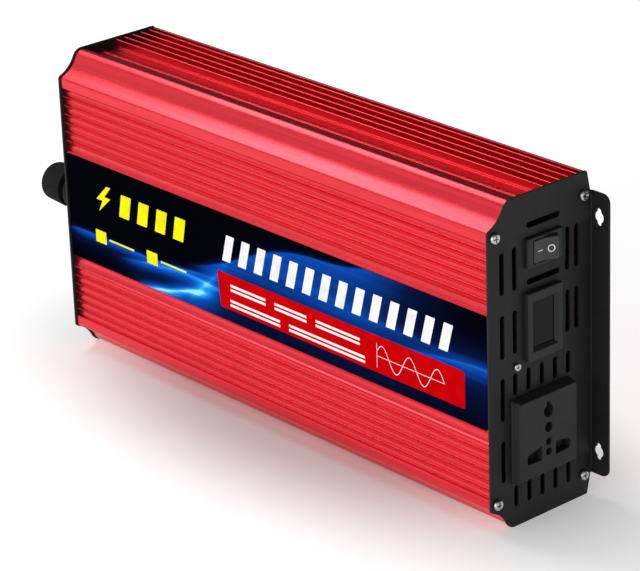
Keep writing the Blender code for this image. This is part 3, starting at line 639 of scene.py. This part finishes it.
def chassis_outline():
    """The back chassis's section: back wall, fins and channel, then its inside with board grooves."""
    corners = [(BACK_OUTER, NOTCH, 0.3), (68.2, FIN_TIP, 0.3), (66.7, FIN_TIP, 0.3), (66.7, FIN_FLOOR, 0.5)]
    for i in reversed(range(FINS)):
        y = FIRST_FIN + FIN_PITCH * i
        corners += [(y + FIN_HALF, FIN_FLOOR, 0.5), (y + FIN_HALF, FIN_TIP, 0.5)]
        corners.append((y - FIN_HALF, FIN_TIP, 0.5))
        if i:
            corners.append((y - FIN_HALF, FIN_FLOOR, 0.5))
    floor = CHANNEL_FLOOR - 0.4
    tongue = CHANNEL_FLOOR - 1.6 - GAP
    corners += [(FIRST_FIN - FIN_HALF, floor + 0.6, 0.25), (38.8, floor + 0.6, 0.15), (38.7, floor, 0.15)]
    corners += [(COVER_EDGE + 0.4, floor, 0.2), (COVER_EDGE + 0.4, tongue, 0)]
    corners += [(24.0, tongue, 0), (24.0, CHASSIS_INNER, 0)]
    inner = [(56.0, CHASSIS_INNER), (56.0, 73.5), (62.3, 71.3), (BACK_INNER, 71.3)]
    half = softened(corners) + inner
    return half + mirrored(half)


def plate_outline():
    """An end plate's outline, its last edge the one where the flange folds off."""
    half = [(BEND_START, NOTCH)] + arc((66.9, HALF_HEIGHT - 1.2), 1.2, 12, 90, 5) + front_outline(0.0)[::-1]
    return half + mirrored(half)


def flange_outline(side):
    """The flange's (x, z) outline, its last edge the one that joins the fold."""
    corner = (FLANGE_END - FLANGE_CORNER, NOTCH - FLANGE_CORNER)
    lower = arc((corner[0], -corner[1]), FLANGE_CORNER, -90, 0, 12)
    upper = arc(corner, FLANGE_CORNER, 0, 90, 12)
    fold = HALF_LENGTH - SHEET + BEND_RADIUS
    points = [(fold, -NOTCH), *lower, *upper, (fold, NOTCH)]
    return [(side * x, z) for x, z in points]


def keyhole(side, z):
    """A round hole with a narrower slot above and below it."""
    x = side * KEYHOLE[0]
    radius, half_slot, reach = 3.1, 1.6, 4.7
    edge = math.degrees(math.asin(half_slot / radius))
    right = arc((x, z), radius, edge - 90, 90 - edge, 14)
    top = arc((x, z + reach - half_slot), half_slot, 0, 180, 10)
    left = arc((x, z), radius, 90 + edge, 270 - edge, 14)
    bottom = arc((x, z - reach + half_slot), half_slot, 180, 360, 10)
    return right + top + left + bottom


def plate_screws():
    return [(y, sign * z) for y, z in (FRONT_SCREW, BACK_SCREW) for sign in (1, -1)]


def add_fold(bm, side):
    """The quarter bend between plate and flange."""
    middle = (HALF_LENGTH - SHEET + BEND_RADIUS, BEND_START)
    outside, inside = (arc(middle, radius, 180, 90, 12) for radius in (BEND_RADIUS, BEND_RADIUS - SHEET))
    section = [(side * x, y) for x, y in outside + inside[::-1]]
    rings = [[bm.verts.new((x, y, z)) for x, y in section] for z in (-NOTCH, NOTCH)]
    count = len(section)
    for i in range(count):
        j = (i + 1) % count
        if i not in (count // 2 - 1, count - 1):
            bm.faces.new((rings[0][i], rings[0][j], rings[1][j], rings[1][i]))
    for ring in rings:
        for i in range(count // 2 - 1):
            bm.faces.new((ring[i], ring[i + 1], ring[count - 2 - i], ring[count - 1 - i]))


def add_end_plate(node, side, holes):
    """A sheet-metal plate with its flange folded outwards at the back, and its keyholes."""
    outline = turned_left(plate_outline())
    screws = [circle(spot, SCREW_HOLE) for spot in plate_screws()]
    bm = bmesh.new()
    inner, outer = side * (HALF_LENGTH - SHEET), side * HALF_LENGTH
    add_sheet(bm, "x", inner, outer, outline, screws + holes, 0.18, len(outline) - 1)
    flange = turned_left(flange_outline(side))
    keyholes = [keyhole(side, sign * KEYHOLE[1]) for sign in (1, -1)]
    add_sheet(bm, "y", BACK - SHEET, BACK, flange, keyholes, 0.18, len(flange) - 1)
    add_fold(bm, side)
    mesh = to_mesh(node + "_sheet", bm)
    place(node + "_sheet", mesh, "black_powder_coat", replaces=[node])


def ac_panel_holes():
    """The AC plate's ventilation slots and the cut-outs for switch, display and socket."""
    tall = [(9.3, 39.8, 60.4), (9.3, 6.4, 27.9), (9.3, -26.6, -5.2), (9.3, -59.8, -38.7)]
    tall += [(y, lower, lower + 21.2) for y in (17.9, 54.1, 60.5) for lower in (39.8, 6.9)]
    holes = [slot((y, lower - 0.5), (y, upper + 0.7), TALL_SLOT_WIDTH) for y, lower, upper in tall]
    for i in range(SHORT_SLOTS):
        y = FIRST_SHORT_SLOT + SHORT_SLOT_PITCH * i
        holes += [slot((y, lower), (y, upper), SLOT_WIDTH) for lower, upper in SHORT_ROWS]
    holes += [slot((CROSS_SLOT[0], z), (CROSS_SLOT[1], z), SLOT_WIDTH) for z in CROSS_ROWS]
    for centre, body in ((SWITCH, SWITCH_BODY), (DISPLAY, DISPLAY_BODY), (SOCKET, SOCKET_BODY)):
        holes.append(rectangle(centre, grown(body, GAP)))
    return holes + [circle(PANEL_SCREW, 1.5)]


def dc_panel_holes():
    holes = []
    for z in (FAN_Z, -FAN_Z):
        holes.append(circle((FAN_Y, z), FAN_BORE, 96))
        holes += [circle(spot, SCREW_HOLE, 24) for spot in fan_corners(z)]
    return holes + [circle((y, 0.0), 7.0) for y in TERMINAL_Y.values()]


def fan_corners(z):
    return [(FAN_Y + a * FAN_PITCH, z + b * FAN_PITCH) for a in (1, -1) for b in (1, -1)]


def screw_mesh(name, head, rise, shank, length):
    """A cross-recess pan-head screw along +X, the underside of its head at the origin."""
    arm, half_arm = 0.58 * head, 0.13 * head
    corners = []
    for turn in range(4):
        cos, sin = (1, 0, -1, 0)[turn], (0, 1, 0, -1)[turn]
        for u, v in [(arm, -half_arm), (arm, half_arm), (half_arm, half_arm)]:
            corners.append((u * cos - v * sin, u * sin + v * cos))
    cross = []
    for first, second in zip(corners, corners[1:] + corners[:1]):
        cross += [tuple(Vector(first).lerp(Vector(second), i / 4)) for i in range(4)]
    start = math.degrees(math.atan2(-half_arm, arm))
    steps = len(cross)
    sections = [(0.1 * rise, [(0.5 * u, 0.5 * v) for u, v in cross]), (0.92 * rise, cross)]
    turns = (0.4, 0.8, 1.2, 1.57)
    dome = [(0.7, 1.0)] + [(0.7 + 0.3 * math.sin(a), 0.35 + 0.65 * math.cos(a)) for a in turns]
    for across, up in dome + [(1.0, 0.12), (0.97, 0.0)]:
        sections.append((rise * up, arc((0, 0), head * across, start, start + 360, steps)[:-1]))
    for x in (0.0, -length):
        sections.append((x, arc((0, 0), shank, start, start + 360, steps)[:-1]))
    bm = bmesh.new()
    add_loft(bm, "x", sections)
    return to_mesh(name, bm, 40)


def add_screws():
    plate = screw_mesh("plate_screw", *PLATE_SCREW)
    for end, side in (("ac", 1), ("dc", -1)):
        for i, spot in enumerate(plate_screws()):
            node = f"{end}_plate_screw_{i + 1}"
            turn = 0 if side > 0 else 180
            x = side * END_FACE
            place(node + "_head", plate, "zinc_plate", (x, *spot), replaces=[node], turn=turn)
    small = screw_mesh("small_screw", *SMALL_SCREW)
    spot = (END_FACE, *PANEL_SCREW)
    place("panel_screw_head", small, "zinc_plate", spot, replaces=["panel_screw"])


def add_extrusion(node, outline, holes):
    bm = bmesh.new()
    holes = [[(w, circle(spot, SCREW_HOLE, 24)) for w in (-SHELL_END, SHELL_END)] for spot in holes]
    add_loft(bm, "x", [(-SHELL_END, outline), (SHELL_END, outline)], holes)
    place(node + "_extrusion", to_mesh(node + "_extrusion", bm, 28), "red_anodised", replaces=[node])


def add_case():
    screws = plate_screws()
    add_extrusion("front_cover", cover_outline(), screws[:2])
    add_extrusion("back_chassis", chassis_outline(), screws[2:])
    add_end_plate("ac_end_plate", 1, ac_panel_holes())
    add_end_plate("dc_end_plate", -1, dc_panel_holes())
    add_screws()


# Label


def add_print(name, finish, outline, rise=0.0):
    """One printed shape, 0.04 mm thick, on the front label."""
    front = low("front_label").y - rise
    bm = bmesh.new()
    add_loft(bm, "y", [(front - 0.04, outline), (front, outline)])
    place(name, to_mesh(name, bm), finish, slot_name="label_film")


def add_line(name, finish, points, width, rise=0.0):
    """A printed line of one width along (x, z) points."""
    sides = ([], [])
    for i, point in enumerate(points):
        before, after = points[max(i - 1, 0)], points[min(i + 1, len(points) - 1)]
        along = (Vector(after) - Vector(before)).normalized() * width / 2
        for side, sign in zip(sides, (1, -1)):
            side.append((point[0] - sign * along.y, point[1] + sign * along.x))
    add_print(name, finish, sides[0] + sides[1][::-1], rise)


def bar(left, right, bottom, top, radius=0.4):
    centre = ((left + right) / 2, (bottom + top) / 2)
    return rectangle(centre, ((right - left) / 2, (top - bottom) / 2), radius, 4)


def slanted_bar(left, width, lean, bottom, top, reach):
    corners = [(left, bottom), (left + width, bottom), (left + width + lean, top), (left + lean, top)]
    return softened([(x, z, reach) for x, z in corners])


def add_label():
    """Plain generic shapes: a bolt and bars, two marks, stripes, and a banner with strips and a wave."""
    banner = [(-37.6, -3.2, 1.5), (-35.6, -23.4, 1.5), (149.0, -23.4, 1.2), (149.0, -3.2, 2.5)]
    add_print("label_banner", "banner_ink", softened(banner, 8), 0.05)
    upper = ("upper", -8.6, [(-27.2, 1.0), (8.0, 33.0), (40.0, 73.4)])
    lower = ("lower", -17.4, [(-27.8, 12.0), (19.0, 76.9)])
    for row, top, spans in (upper, lower):
        for i, (left, right) in enumerate(spans):
            for j, drop in enumerate((0.0, 2.5)):
                strip = bar(left, right, top - drop - 1.4, top - drop, 0.3)
                add_print(f"banner_{row}_strip_{i + 1}_{j + 1}", "white_ink", strip, 0.1)
    wave = [(86.4 + 0.5 * i, -14.3 + 6.2 * math.cos(math.radians(9.0 * i - 61.2))) for i in range(98)]
    add_line("sine_wave", "white_ink", wave, 0.4, 0.1)
    add_line("sine_axis_along", "white_ink", [(86.0, -14.3), (135.0, -14.3)], 0.3, 0.1)
    add_line("sine_axis_up", "white_ink", [(86.0, -20.6), (86.0, -7.4)], 0.3, 0.1)
    bolt = [(-130.0, 19.0), (-139.5, 9.8), (-134.2, 9.8), (-137.6, 3.0)]
    bolt += [(-127.0, 12.4), (-132.4, 12.4), (-126.4, 19.0)]
    add_print("rating_bolt", "yellow_ink", bolt)
    for i, left in enumerate((-120.0, -104.6, -89.2, -73.8)):
        add_print(f"rating_bar_{i + 1}", "yellow_ink", slanted_bar(left, 8.6, 2.8, 4.4, 17.8, 0.6))
    for i, left in enumerate((-142.0, -97.4)):
        add_print(f"voltage_mark_{i + 1}", "yellow_ink", bar(left, left + 9.2, -16.0, -8.7, 0.2))
        add_line(f"voltage_line_{i + 1}", "yellow_ink", [(left + 12.0, -12.4), (left + 33.5, -12.4)], 1.1)
    for i in range(14):
        stripe = slanted_bar(-33.0 + 12.6 * i, 6.4, 4.2, 3.6, 18.8, 0.4)
        add_print(f"title_bar_{i + 1}", "white_ink", stripe)


# AC panel


def add_box(name, finish, node, centre, steps, radius=0.8, holes=(), looped=False, sharp_above=32):
    """A body of rounded rectangles about a (y, z) centre, given as (x, half sizes)."""
    bm = bmesh.new()
    sections = [(x, rectangle(centre, half, min(radius, min(half)))) for x, half in steps]
    add_loft(bm, "x", sections, holes, looped)
    return place(name, to_mesh(name, bm, sharp_above), finish, replaces=[node])


def grown(half, by):
    return (half[0] + by, half[1] + by)


def rounded_rim(x, half, rim, steps=4, direction=1):
    """Half sizes that shrink round a rim that ends at x."""
    turns = [math.radians(90 * i / steps) for i in range(steps + 1)]
    return [(x - direction * rim * (1 - math.sin(t)), grown(half, -rim * (1 - math.cos(t)))) for t in turns]


def rocker_face(y):
    """How far the rocker's face is from its pivot: two flats that meet in a soft valley."""
    return 3.5 + 0.235 * (math.hypot(y, 1.2) - 0.6)


def add_switch():
    steps = [(152.0, SWITCH_BODY), (END_FACE, SWITCH_BODY), (END_FACE, SWITCH_BEZEL)]
    steps += rounded_rim(END_FACE + 1.8, SWITCH_BEZEL, 0.7)
    steps += [(END_FACE + 1.8, grown(SWITCH_WELL, 0.3)), (END_FACE + 1.7, grown(SWITCH_WELL, 0.1))]
    steps += [(END_FACE + 1.4, SWITCH_WELL), (156.0, SWITCH_WELL)]
    add_box("switch_frame", "switch_plastic", "switch_housing", SWITCH, steps)

    face = [(rocker_face(y), y) for y in [6.7 * i / 12 for i in range(-12, 13)]]
    end = [(5.0, 6.95), (4.7, 7.1), (0.0, 7.6), (-1.5, 7.3), (-5.5, 3.2)]
    outline = face + end + [(x, -y) for x, y in reversed(end)]
    half = SWITCH_WELL[1] - 0.35
    bm = bmesh.new()
    add_loft(bm, "z", rimmed(turned_left(outline), -half, half, 0.3))
    pivot = (ROCKER_PIVOT, *SWITCH)
    place("rocker_button", to_mesh("rocker_button", bm), "rocker_face", pivot, "rocker", ["switch_rocker"],
          ROCKER_TILT, "switch_plastic")

    marks = {"spot": pivot, "body": "rocker", "turn": ROCKER_TILT, "slot_name": "switch_plastic"}
    turns = [math.radians(10 * i) for i in range(36)]
    ring = [(3.3 + 1.65 * math.cos(a), 1.75 * math.sin(a)) for a in turns]
    dash = [(-4.4 + 0.3 * i, 0.0) for i in range(10)]
    for name, points, closed in (("rocker_off_mark", ring, True), ("rocker_on_mark", dash, False)):
        path = [(rocker_face(y) + 0.02, y, z) for y, z in points]
        add_wire(name, "white_ink", [(path, closed)], 0.3, **marks)


def add_wire(name, finish, paths, radius, **placing):
    """Round wire along paths of points, each closed or open, joined into one mesh."""
    bm = bmesh.new()
    sides = 10
    for points, closed in paths:
        rings = []
        for i, point in enumerate(points):
            before = points[i - 1] if closed or i else point
            after = points[(i + 1) % len(points)] if closed or i < len(points) - 1 else point
            along = (Vector(after) - Vector(before)).normalized()
            out = along.orthogonal().normalized() if abs(along.x) > 0.9 else Vector((1, 0, 0))
            out = (out - along * out.dot(along)).normalized()
            across = along.cross(out)
            angles = [math.tau * k / sides for k in range(sides)]
            offsets = [(out * math.cos(a) + across * math.sin(a)) * radius for a in angles]
            rings.append([bm.verts.new(Vector(point) + offset) for offset in offsets])
        pairs = list(zip(rings, rings[1:])) + ([(rings[-1], rings[0])] if closed else [])
        for first, second in pairs:
            for k in range(sides):
                m = (k + 1) % sides
                bm.faces.new((first[k], first[m], second[m], second[k]))
        if not closed:
            bm.faces.new(rings[0])
            bm.faces.new(rings[-1])
    return place(name, to_mesh(name, bm, 60), finish, **placing)


def add_display():
    face = END_FACE + 2.7
    ledge = face - 1.7
    opening = grown(DISPLAY_WINDOW, 0.7)
    window = grown(DISPLAY_WINDOW, -0.7)
    pocket = (9.0, 14.6)
    steps = [(160.0, DISPLAY_BODY), (END_FACE, DISPLAY_BODY), (END_FACE, DISPLAY_BEZEL)]
    steps += rounded_rim(face, DISPLAY_BEZEL, 0.5)
    steps += [(face, grown(opening, 0.25)), (face - 0.08, grown(opening, 0.08)), (face - 0.25, opening)]
    steps += [(ledge + 0.1, window), (ledge - 0.2, window), (ledge - 0.2, pocket), (160.0, pocket)]
    add_box("display_frame", "bezel_plastic", "display_bezel", DISPLAY, steps, 0.6, looped=True)


def pin_opening(sign):
    """The fan-shaped opening that takes a round, flat or slanted pin."""
    inner, outer = 4.9, 14.9
    corners = [(inner, -14.0, 0.4), (outer - 0.3, -13.5, 0.5), (outer, -9.3, 0.6), (outer - 1.2, -8.4, 0.5)]
    points = softened(corners + [(inner, -6.6, 0.4)])
    return around(SOCKET, [(sign * u, v) for u, v in points])


def earth_opening():
    radius, half_slot = 3.2, 1.3
    edge = math.degrees(math.asin(half_slot / radius))
    round_part = arc((0, EARTH), radius, 90 + edge, 450 - edge, 32)
    return around(SOCKET, round_part + [(half_slot, EARTH + 4.9), (-half_slot, EARTH + 4.9)])


def add_socket():
    face_back = low("socket_shutter").x + 1.6
    cavity = grown(SOCKET_BODY, -1.8)
    steps = [(face_back, cavity, 0.0), (162.0, cavity, 0.0), (162.0, SOCKET_BODY, 0.0)]
    steps += [(END_FACE, SOCKET_BODY, 0.0), (END_FACE, SOCKET_BASE, SOCKET_BASE_DROP)]
    steps.append((END_FACE + 0.9, SOCKET_BASE, SOCKET_BASE_DROP))
    steps.append((END_FACE + 1.2, grown(SOCKET_BASE, -0.25), SOCKET_BASE_DROP))
    steps += [(SOCKET_FRONT - 0.6, (19.9, 21.1), 0.5), (SOCKET_FRONT - 0.2, (19.75, 20.95), 0.5)]
    steps += [(SOCKET_FRONT - 0.05, (19.55, 20.75), 0.5), (SOCKET_FRONT, (19.3, 20.5), 0.5)]
    round_holes = ((2.4, 2.6), (-5.3, 1.9), (-10.8, 1.9))  # above the centre, and radius
    openings = [circle((SOCKET[0], SOCKET[1] + v), radius) for v, radius in round_holes]
    openings += [pin_opening(1), pin_opening(-1), earth_opening()]
    holes = []
    for opening in openings:
        outline = turned_left(opening)[::-1]
        rim = [(SOCKET_FRONT - 0.07, inset(outline, 0.08)), (SOCKET_FRONT, inset(outline, 0.25))]
        holes.append([(face_back, outline), (SOCKET_FRONT - 0.25, outline), *rim])
    y, z = SOCKET
    bm = bmesh.new()
    add_loft(bm, "x", [(x, rectangle((y, z - drop), half, 1.2)) for x, half, drop in steps], holes)
    place("socket_moulding", to_mesh("socket_moulding", bm), "socket_plastic", replaces=["socket_face"])


# DC end


def add_fans():
    outside = -END_FACE
    for label, z in (("upper", FAN_Z), ("lower", -FAN_Z)):
        centre = (FAN_Y, z)
        bm = bmesh.new()
        hub = [(0.0, 0.3), (5.0, 0.0), (8.6, 0.1), (9.8, 0.6), (10.2, 1.6), (10.2, 9.6), (0.0, 9.6)]
        add_turned(bm, (0, 0), [(max(radius, 0.01), x) for radius, x in hub], 48)
        for blade in range(FAN_BLADES):
            add_blade(bm, 360 / FAN_BLADES * blade)
        start = low(f"fan_rotor_{label}").x
        mesh = to_mesh(f"fan_impeller_{label}", bm, 40)
        spot = (start, *centre)
        place(f"fan_impeller_{label}", mesh, "fan_plastic", spot, f"fan_{label}", [f"fan_rotor_{label}"])

        x = outside - GRILLE_PLANE
        paths = []
        for radius in GRILLE_RINGS:
            paths.append(([(x, *p) for p in circle(centre, radius, 72)], True))
        for turn in range(4):
            angle = 90 * turn + 45
            to_screw = FAN_PITCH * math.sqrt(2)
            near, far = polar(centre, GRILLE_RINGS[0], angle), polar(centre, to_screw - 2.4, angle)
            paths.append(([(x, *near), (x, *far)], False))
            ear = polar(centre, to_screw, angle)
            paths.append(([(x, *p) for p in circle(ear, GRILLE_EAR, 32)], True))
        grille = f"fan_grille_{label}"
        add_wire(grille, "zinc_plate", paths, GRILLE_WIRE, replaces=[f"fan_guard_{label}"])

    mesh = screw_mesh("fan_screw", *FAN_SCREW)
    for label, z in (("upper", FAN_Z), ("lower", -FAN_Z)):
        for i, spot in enumerate(fan_corners(z)):
            node = f"fan_screw_{label}_{i + 1}"
            place(node + "_head", mesh, "zinc_plate", (outside - GAP - 1.6, *spot), replaces=[node], turn=180)


def add_blade(bm, angle):
    """A twisted, curved fan blade from the hub outwards."""
    rows = []
    for i in range(BLADE_STEPS + 1):
        radius = 9.8 + 12.8 * i / BLADE_STEPS
        width = math.radians(30 - 6 * i / BLADE_STEPS)
        sides = ([], [])
        for k in range(BLADE_STEPS + 1):
            t = k / BLADE_STEPS
            turn = math.radians(angle) - width * (t - 0.5) - 0.1 * math.sin(math.pi * t)
            x = 0.6 + 8.2 * t
            for side, thickness in zip(sides, (0.45, -0.45)):
                thin = thickness * math.sin(math.pi * (0.12 + 0.76 * t))
                side.append(bm.verts.new((x + thin, radius * math.cos(turn), radius * math.sin(turn))))
        rows.append(sides[0] + sides[1][::-1])
    for first, second in zip(rows, rows[1:]):
        for k in range(len(first)):
            m = (k + 1) % len(first)
            bm.faces.new((first[k], first[m], second[m], second[k]))
    bm.faces.new(rows[0])
    bm.faces.new(rows[-1])


def add_terminals():
    base = -END_FACE
    bore = STUD + GAP
    for label, finish in (("negative", "terminal_black"), ("positive", "terminal_red")):
        centre = (TERMINAL_Y[label], 0.0)
        collar = [(bore, -162.0), (6.7, -162.0), (6.7, base)]
        collar += [(12.0, base), (12.2, base - 0.2), (12.2, base - 1.7)]
        collar += [(12.05, base - 2.0), (11.7, base - 2.4), (11.55, base - 3.2), (11.4, COLLAR_END + 1.0)]
        collar += [(11.2, COLLAR_END + 0.4), (10.8, COLLAR_END + 0.1), (10.3, COLLAR_END), (bore, COLLAR_END)]
        bm = bmesh.new()
        add_turned(bm, centre, collar + collar[:1])
        name = f"terminal_sleeve_{label}"
        place(name, to_mesh(name, bm), finish, replaces=[f"terminal_collar_{label}"])
        add_washer(label, centre, bore)
        add_knob(label, finish)


def add_washer(label, centre, bore):
    near, far = high(f"terminal_washer_{label}").x, low(f"terminal_washer_{label}").x
    ring = [(bore, near), (7.8, near), (8.0, near - 0.2)]
    ring += [(8.0, far + 0.2), (7.8, far), (bore, far), (bore, near)]
    bm = bmesh.new()
    add_turned(bm, centre, ring)
    name = f"terminal_ring_{label}"
    place(name, to_mesh(name, bm), "zinc_plate", (0, 0, 0), f"{label}_washer", [f"terminal_washer_{label}"])


def add_knob(label, finish):
    """A knob with rounded ribs round its side and a blind hole."""
    per_rib = 6
    points = KNOB_RIBS * per_rib

    def ribs(radius, depth):
        waves = [abs(math.cos(math.pi * i / per_rib)) for i in range(points)]
        plain = circle((0, 0), 1.0, points)
        reaches = [radius - depth * wave for wave in waves]
        return [(u * reach, v * reach) for (u, v), reach in zip(plain, reaches)]

    length = KNOB_END - KNOB_START
    bore = STUD + GAP + 0.1
    steps = [(-9.4, bore, 0), (0.0, bore, 0), (0.0, 10.6, 0), (-0.1, 11.1, 0.1), (-0.5, 11.6, 0.35)]
    steps += [(-6.0, 11.3, 0.4), (length + 2.6, 10.8, 0.35), (length + 1.5, 10.35, 0.3)]
    steps += [(length + 0.8, 9.6, 0.15), (length + 0.3, 8.7, 0.05), (length + 0.05, 7.8, 0), (length, 7.0, 0)]
    steps += [(length + 0.25, 6.6, 0), (length + 0.3, 6.0, 0)]
    bm = bmesh.new()
    add_loft(bm, "x", [(x, ribs(radius, depth)) for x, radius, depth in steps])
    name = f"terminal_grip_{label}"
    spot = (KNOB_START, TERMINAL_Y[label], 0.0)
    place(name, to_mesh(name, bm, 45), finish, spot, f"{label}_knob", [f"terminal_knob_{label}"])


add_case()
add_label()
add_switch()
add_display()
add_socket()
add_fans()
add_terminals()

# CAD nodes that stay get the finish of their slot
SLOTS = {row["node"]: row["material_slot"] for row in frame["record"]["subparts"]}
for node, shown in frame["nodes"].items():
    shown.data.materials.clear()
    shown.data.materials.append(FINISHES[SLOTS[node]])


# Floor, lights and camera

# The room's brightness, as (how far along a direction from 0 to 1, grey)
FRONT_TO_BACK = [(0.0, 1.0), (0.42, 0.8), (0.58, 0.1), (1.0, 0.04)]
UPWARDS = [(0.0, 1.0), (0.5, 0.9), (0.75, 0.25), (1.0, 0.15)]


def add_floor():
    """A pale floor that gives off light, its glow cut under the object and close to it as a painted contact
    shadow.
    """
    bm = bmesh.new()
    bmesh.ops.create_grid(bm, x_segments=2, y_segments=2, size=12.0)
    mesh = bpy.data.meshes.new("floor")
    bm.to_mesh(mesh)
    bm.free()
    floor = bpy.data.objects.new("floor", mesh)
    floor.location.z = CAD_BOX[0].z
    bpy.context.scene.collection.objects.link(floor)
    pale = new_material("floor_glow_with_painted_shadow", (0.75, 0.75, 0.75), 0.9, 0.0, 0.0)
    shader_of(pale).inputs["Emission Color"].default_value = (1.0, 1.0, 1.0, 1.0)
    place = add_node(pale, "ShaderNodeNewGeometry").outputs["Position"]
    centre = tuple(ORIGIN + Vector((0, BACK / 2, 0)) * MM)
    away = vector_calc(pale, "SUBTRACT", {0: place, 1: centre})
    flattened = vector_calc(pale, "MULTIPLY", {0: away, 1: (0.45, 1.0, 0.0)})
    reach = vector_calc(pale, "LENGTH", {0: flattened}, "Value")
    settings = {"interpolation_type": "SMOOTHSTEP"}
    # The glow drops from 0.66 far off to 0.1 under and close to the object: a painted contact shadow.
    inputs = {"Value": reach, "From Min": 0.035, "From Max": 0.13, "To Min": 0.1, "To Max": 0.66}
    glow_with_painted_shadow = add_node(pale, "ShaderNodeMapRange", settings, inputs)
    pale.node_tree.links.new(glow_with_painted_shadow.outputs[0], shader_of(pale).inputs["Emission Strength"])
    mesh.materials.append(pale)


def add_light(name, azimuth, elevation, distance, size, power):
    """A soft box that faces the object. Azimuth 0 is in front, at -Y, and 90 at +X."""
    data = bpy.data.lights.new(name, "AREA")
    data.shape = "RECTANGLE"
    data.size, data.size_y = size
    data.energy = power
    lamp = bpy.data.objects.new(name, data)
    a, e = math.radians(azimuth), math.radians(elevation)
    out = Vector((math.sin(a) * math.cos(e), -math.cos(a) * math.cos(e), math.sin(e)))
    lamp.location = (CAD_BOX[0] + CAD_BOX[1]) / 2 + out * distance
    lamp.rotation_euler = out.to_track_quat("Z", "Y").to_euler()
    bpy.context.scene.collection.objects.link(lamp)


def add_world():
    """A room that is pale in front and dim behind and overhead."""
    world = bpy.data.worlds.new("studio")
    world.use_nodes = True
    nodes, links = world.node_tree.nodes, world.node_tree.links
    direction = nodes.new("ShaderNodeTexCoord")
    split = nodes.new("ShaderNodeSeparateXYZ")
    links.new(direction.outputs["Generated"], split.inputs[0])

    def ramp_of(source, first, last, stops):
        span = nodes.new("ShaderNodeMapRange")
        span.inputs["From Min"].default_value = first
        span.inputs["From Max"].default_value = last
        links.new(split.outputs[source], span.inputs["Value"])
        ramp = nodes.new("ShaderNodeValToRGB")
        links.new(span.outputs[0], ramp.inputs[0])
        while len(ramp.color_ramp.elements) < len(stops):
            ramp.color_ramp.elements.new(0.5)
        for element, (position, grey) in zip(ramp.color_ramp.elements, stops):
            element.position = position
            element.color = (grey, grey, grey, 1.0)
        return ramp.outputs[0]

    front_to_back = ramp_of(1, -1.0, 1.0, FRONT_TO_BACK)
    upwards = ramp_of(2, 0.0, 1.0, UPWARDS)
    product = nodes.new("ShaderNodeMix")
    product.data_type = "RGBA"
    product.blend_type = "MULTIPLY"
    product.inputs["Factor"].default_value = 1.0
    links.new(front_to_back, product.inputs[6])
    links.new(upwards, product.inputs[7])
    links.new(product.outputs[2], nodes["Background"].inputs["Color"])
    bpy.context.scene.world = world


def add_camera():
    data = bpy.data.cameras.new("camera")
    data.sensor_width = 36.0
    data.lens = 174.7
    data.shift_x, data.shift_y = 0.0015, -0.00125
    data.clip_start, data.clip_end = 0.1, 40.0
    camera = bpy.data.objects.new("camera", data)
    azimuth, elevation, roll = math.radians(49.06), math.radians(22.81), math.radians(-2.11)
    flat = math.cos(elevation)
    back = Vector((math.sin(azimuth) * flat, -math.cos(azimuth) * flat, math.sin(elevation)))
    upright = (-back).to_track_quat("-Z", "Y").to_matrix().to_4x4()
    spot = ORIGIN + Vector((1138.5, -949.0, 621.4)) * MM
    camera.matrix_world = Matrix.Translation(spot) @ upright @ Matrix.Rotation(roll, 4, "Z")
    bpy.context.scene.collection.objects.link(camera)
    bpy.context.scene.camera = camera


add_floor()
add_light("strip", -88, 50, 1.6, (1.0, 0.5), 8.5)
add_light("front", 0, 12, 2.2, (1.8, 0.9), 11)
add_world()
add_camera()
bpy.context.scene.view_settings.view_transform = "Standard"
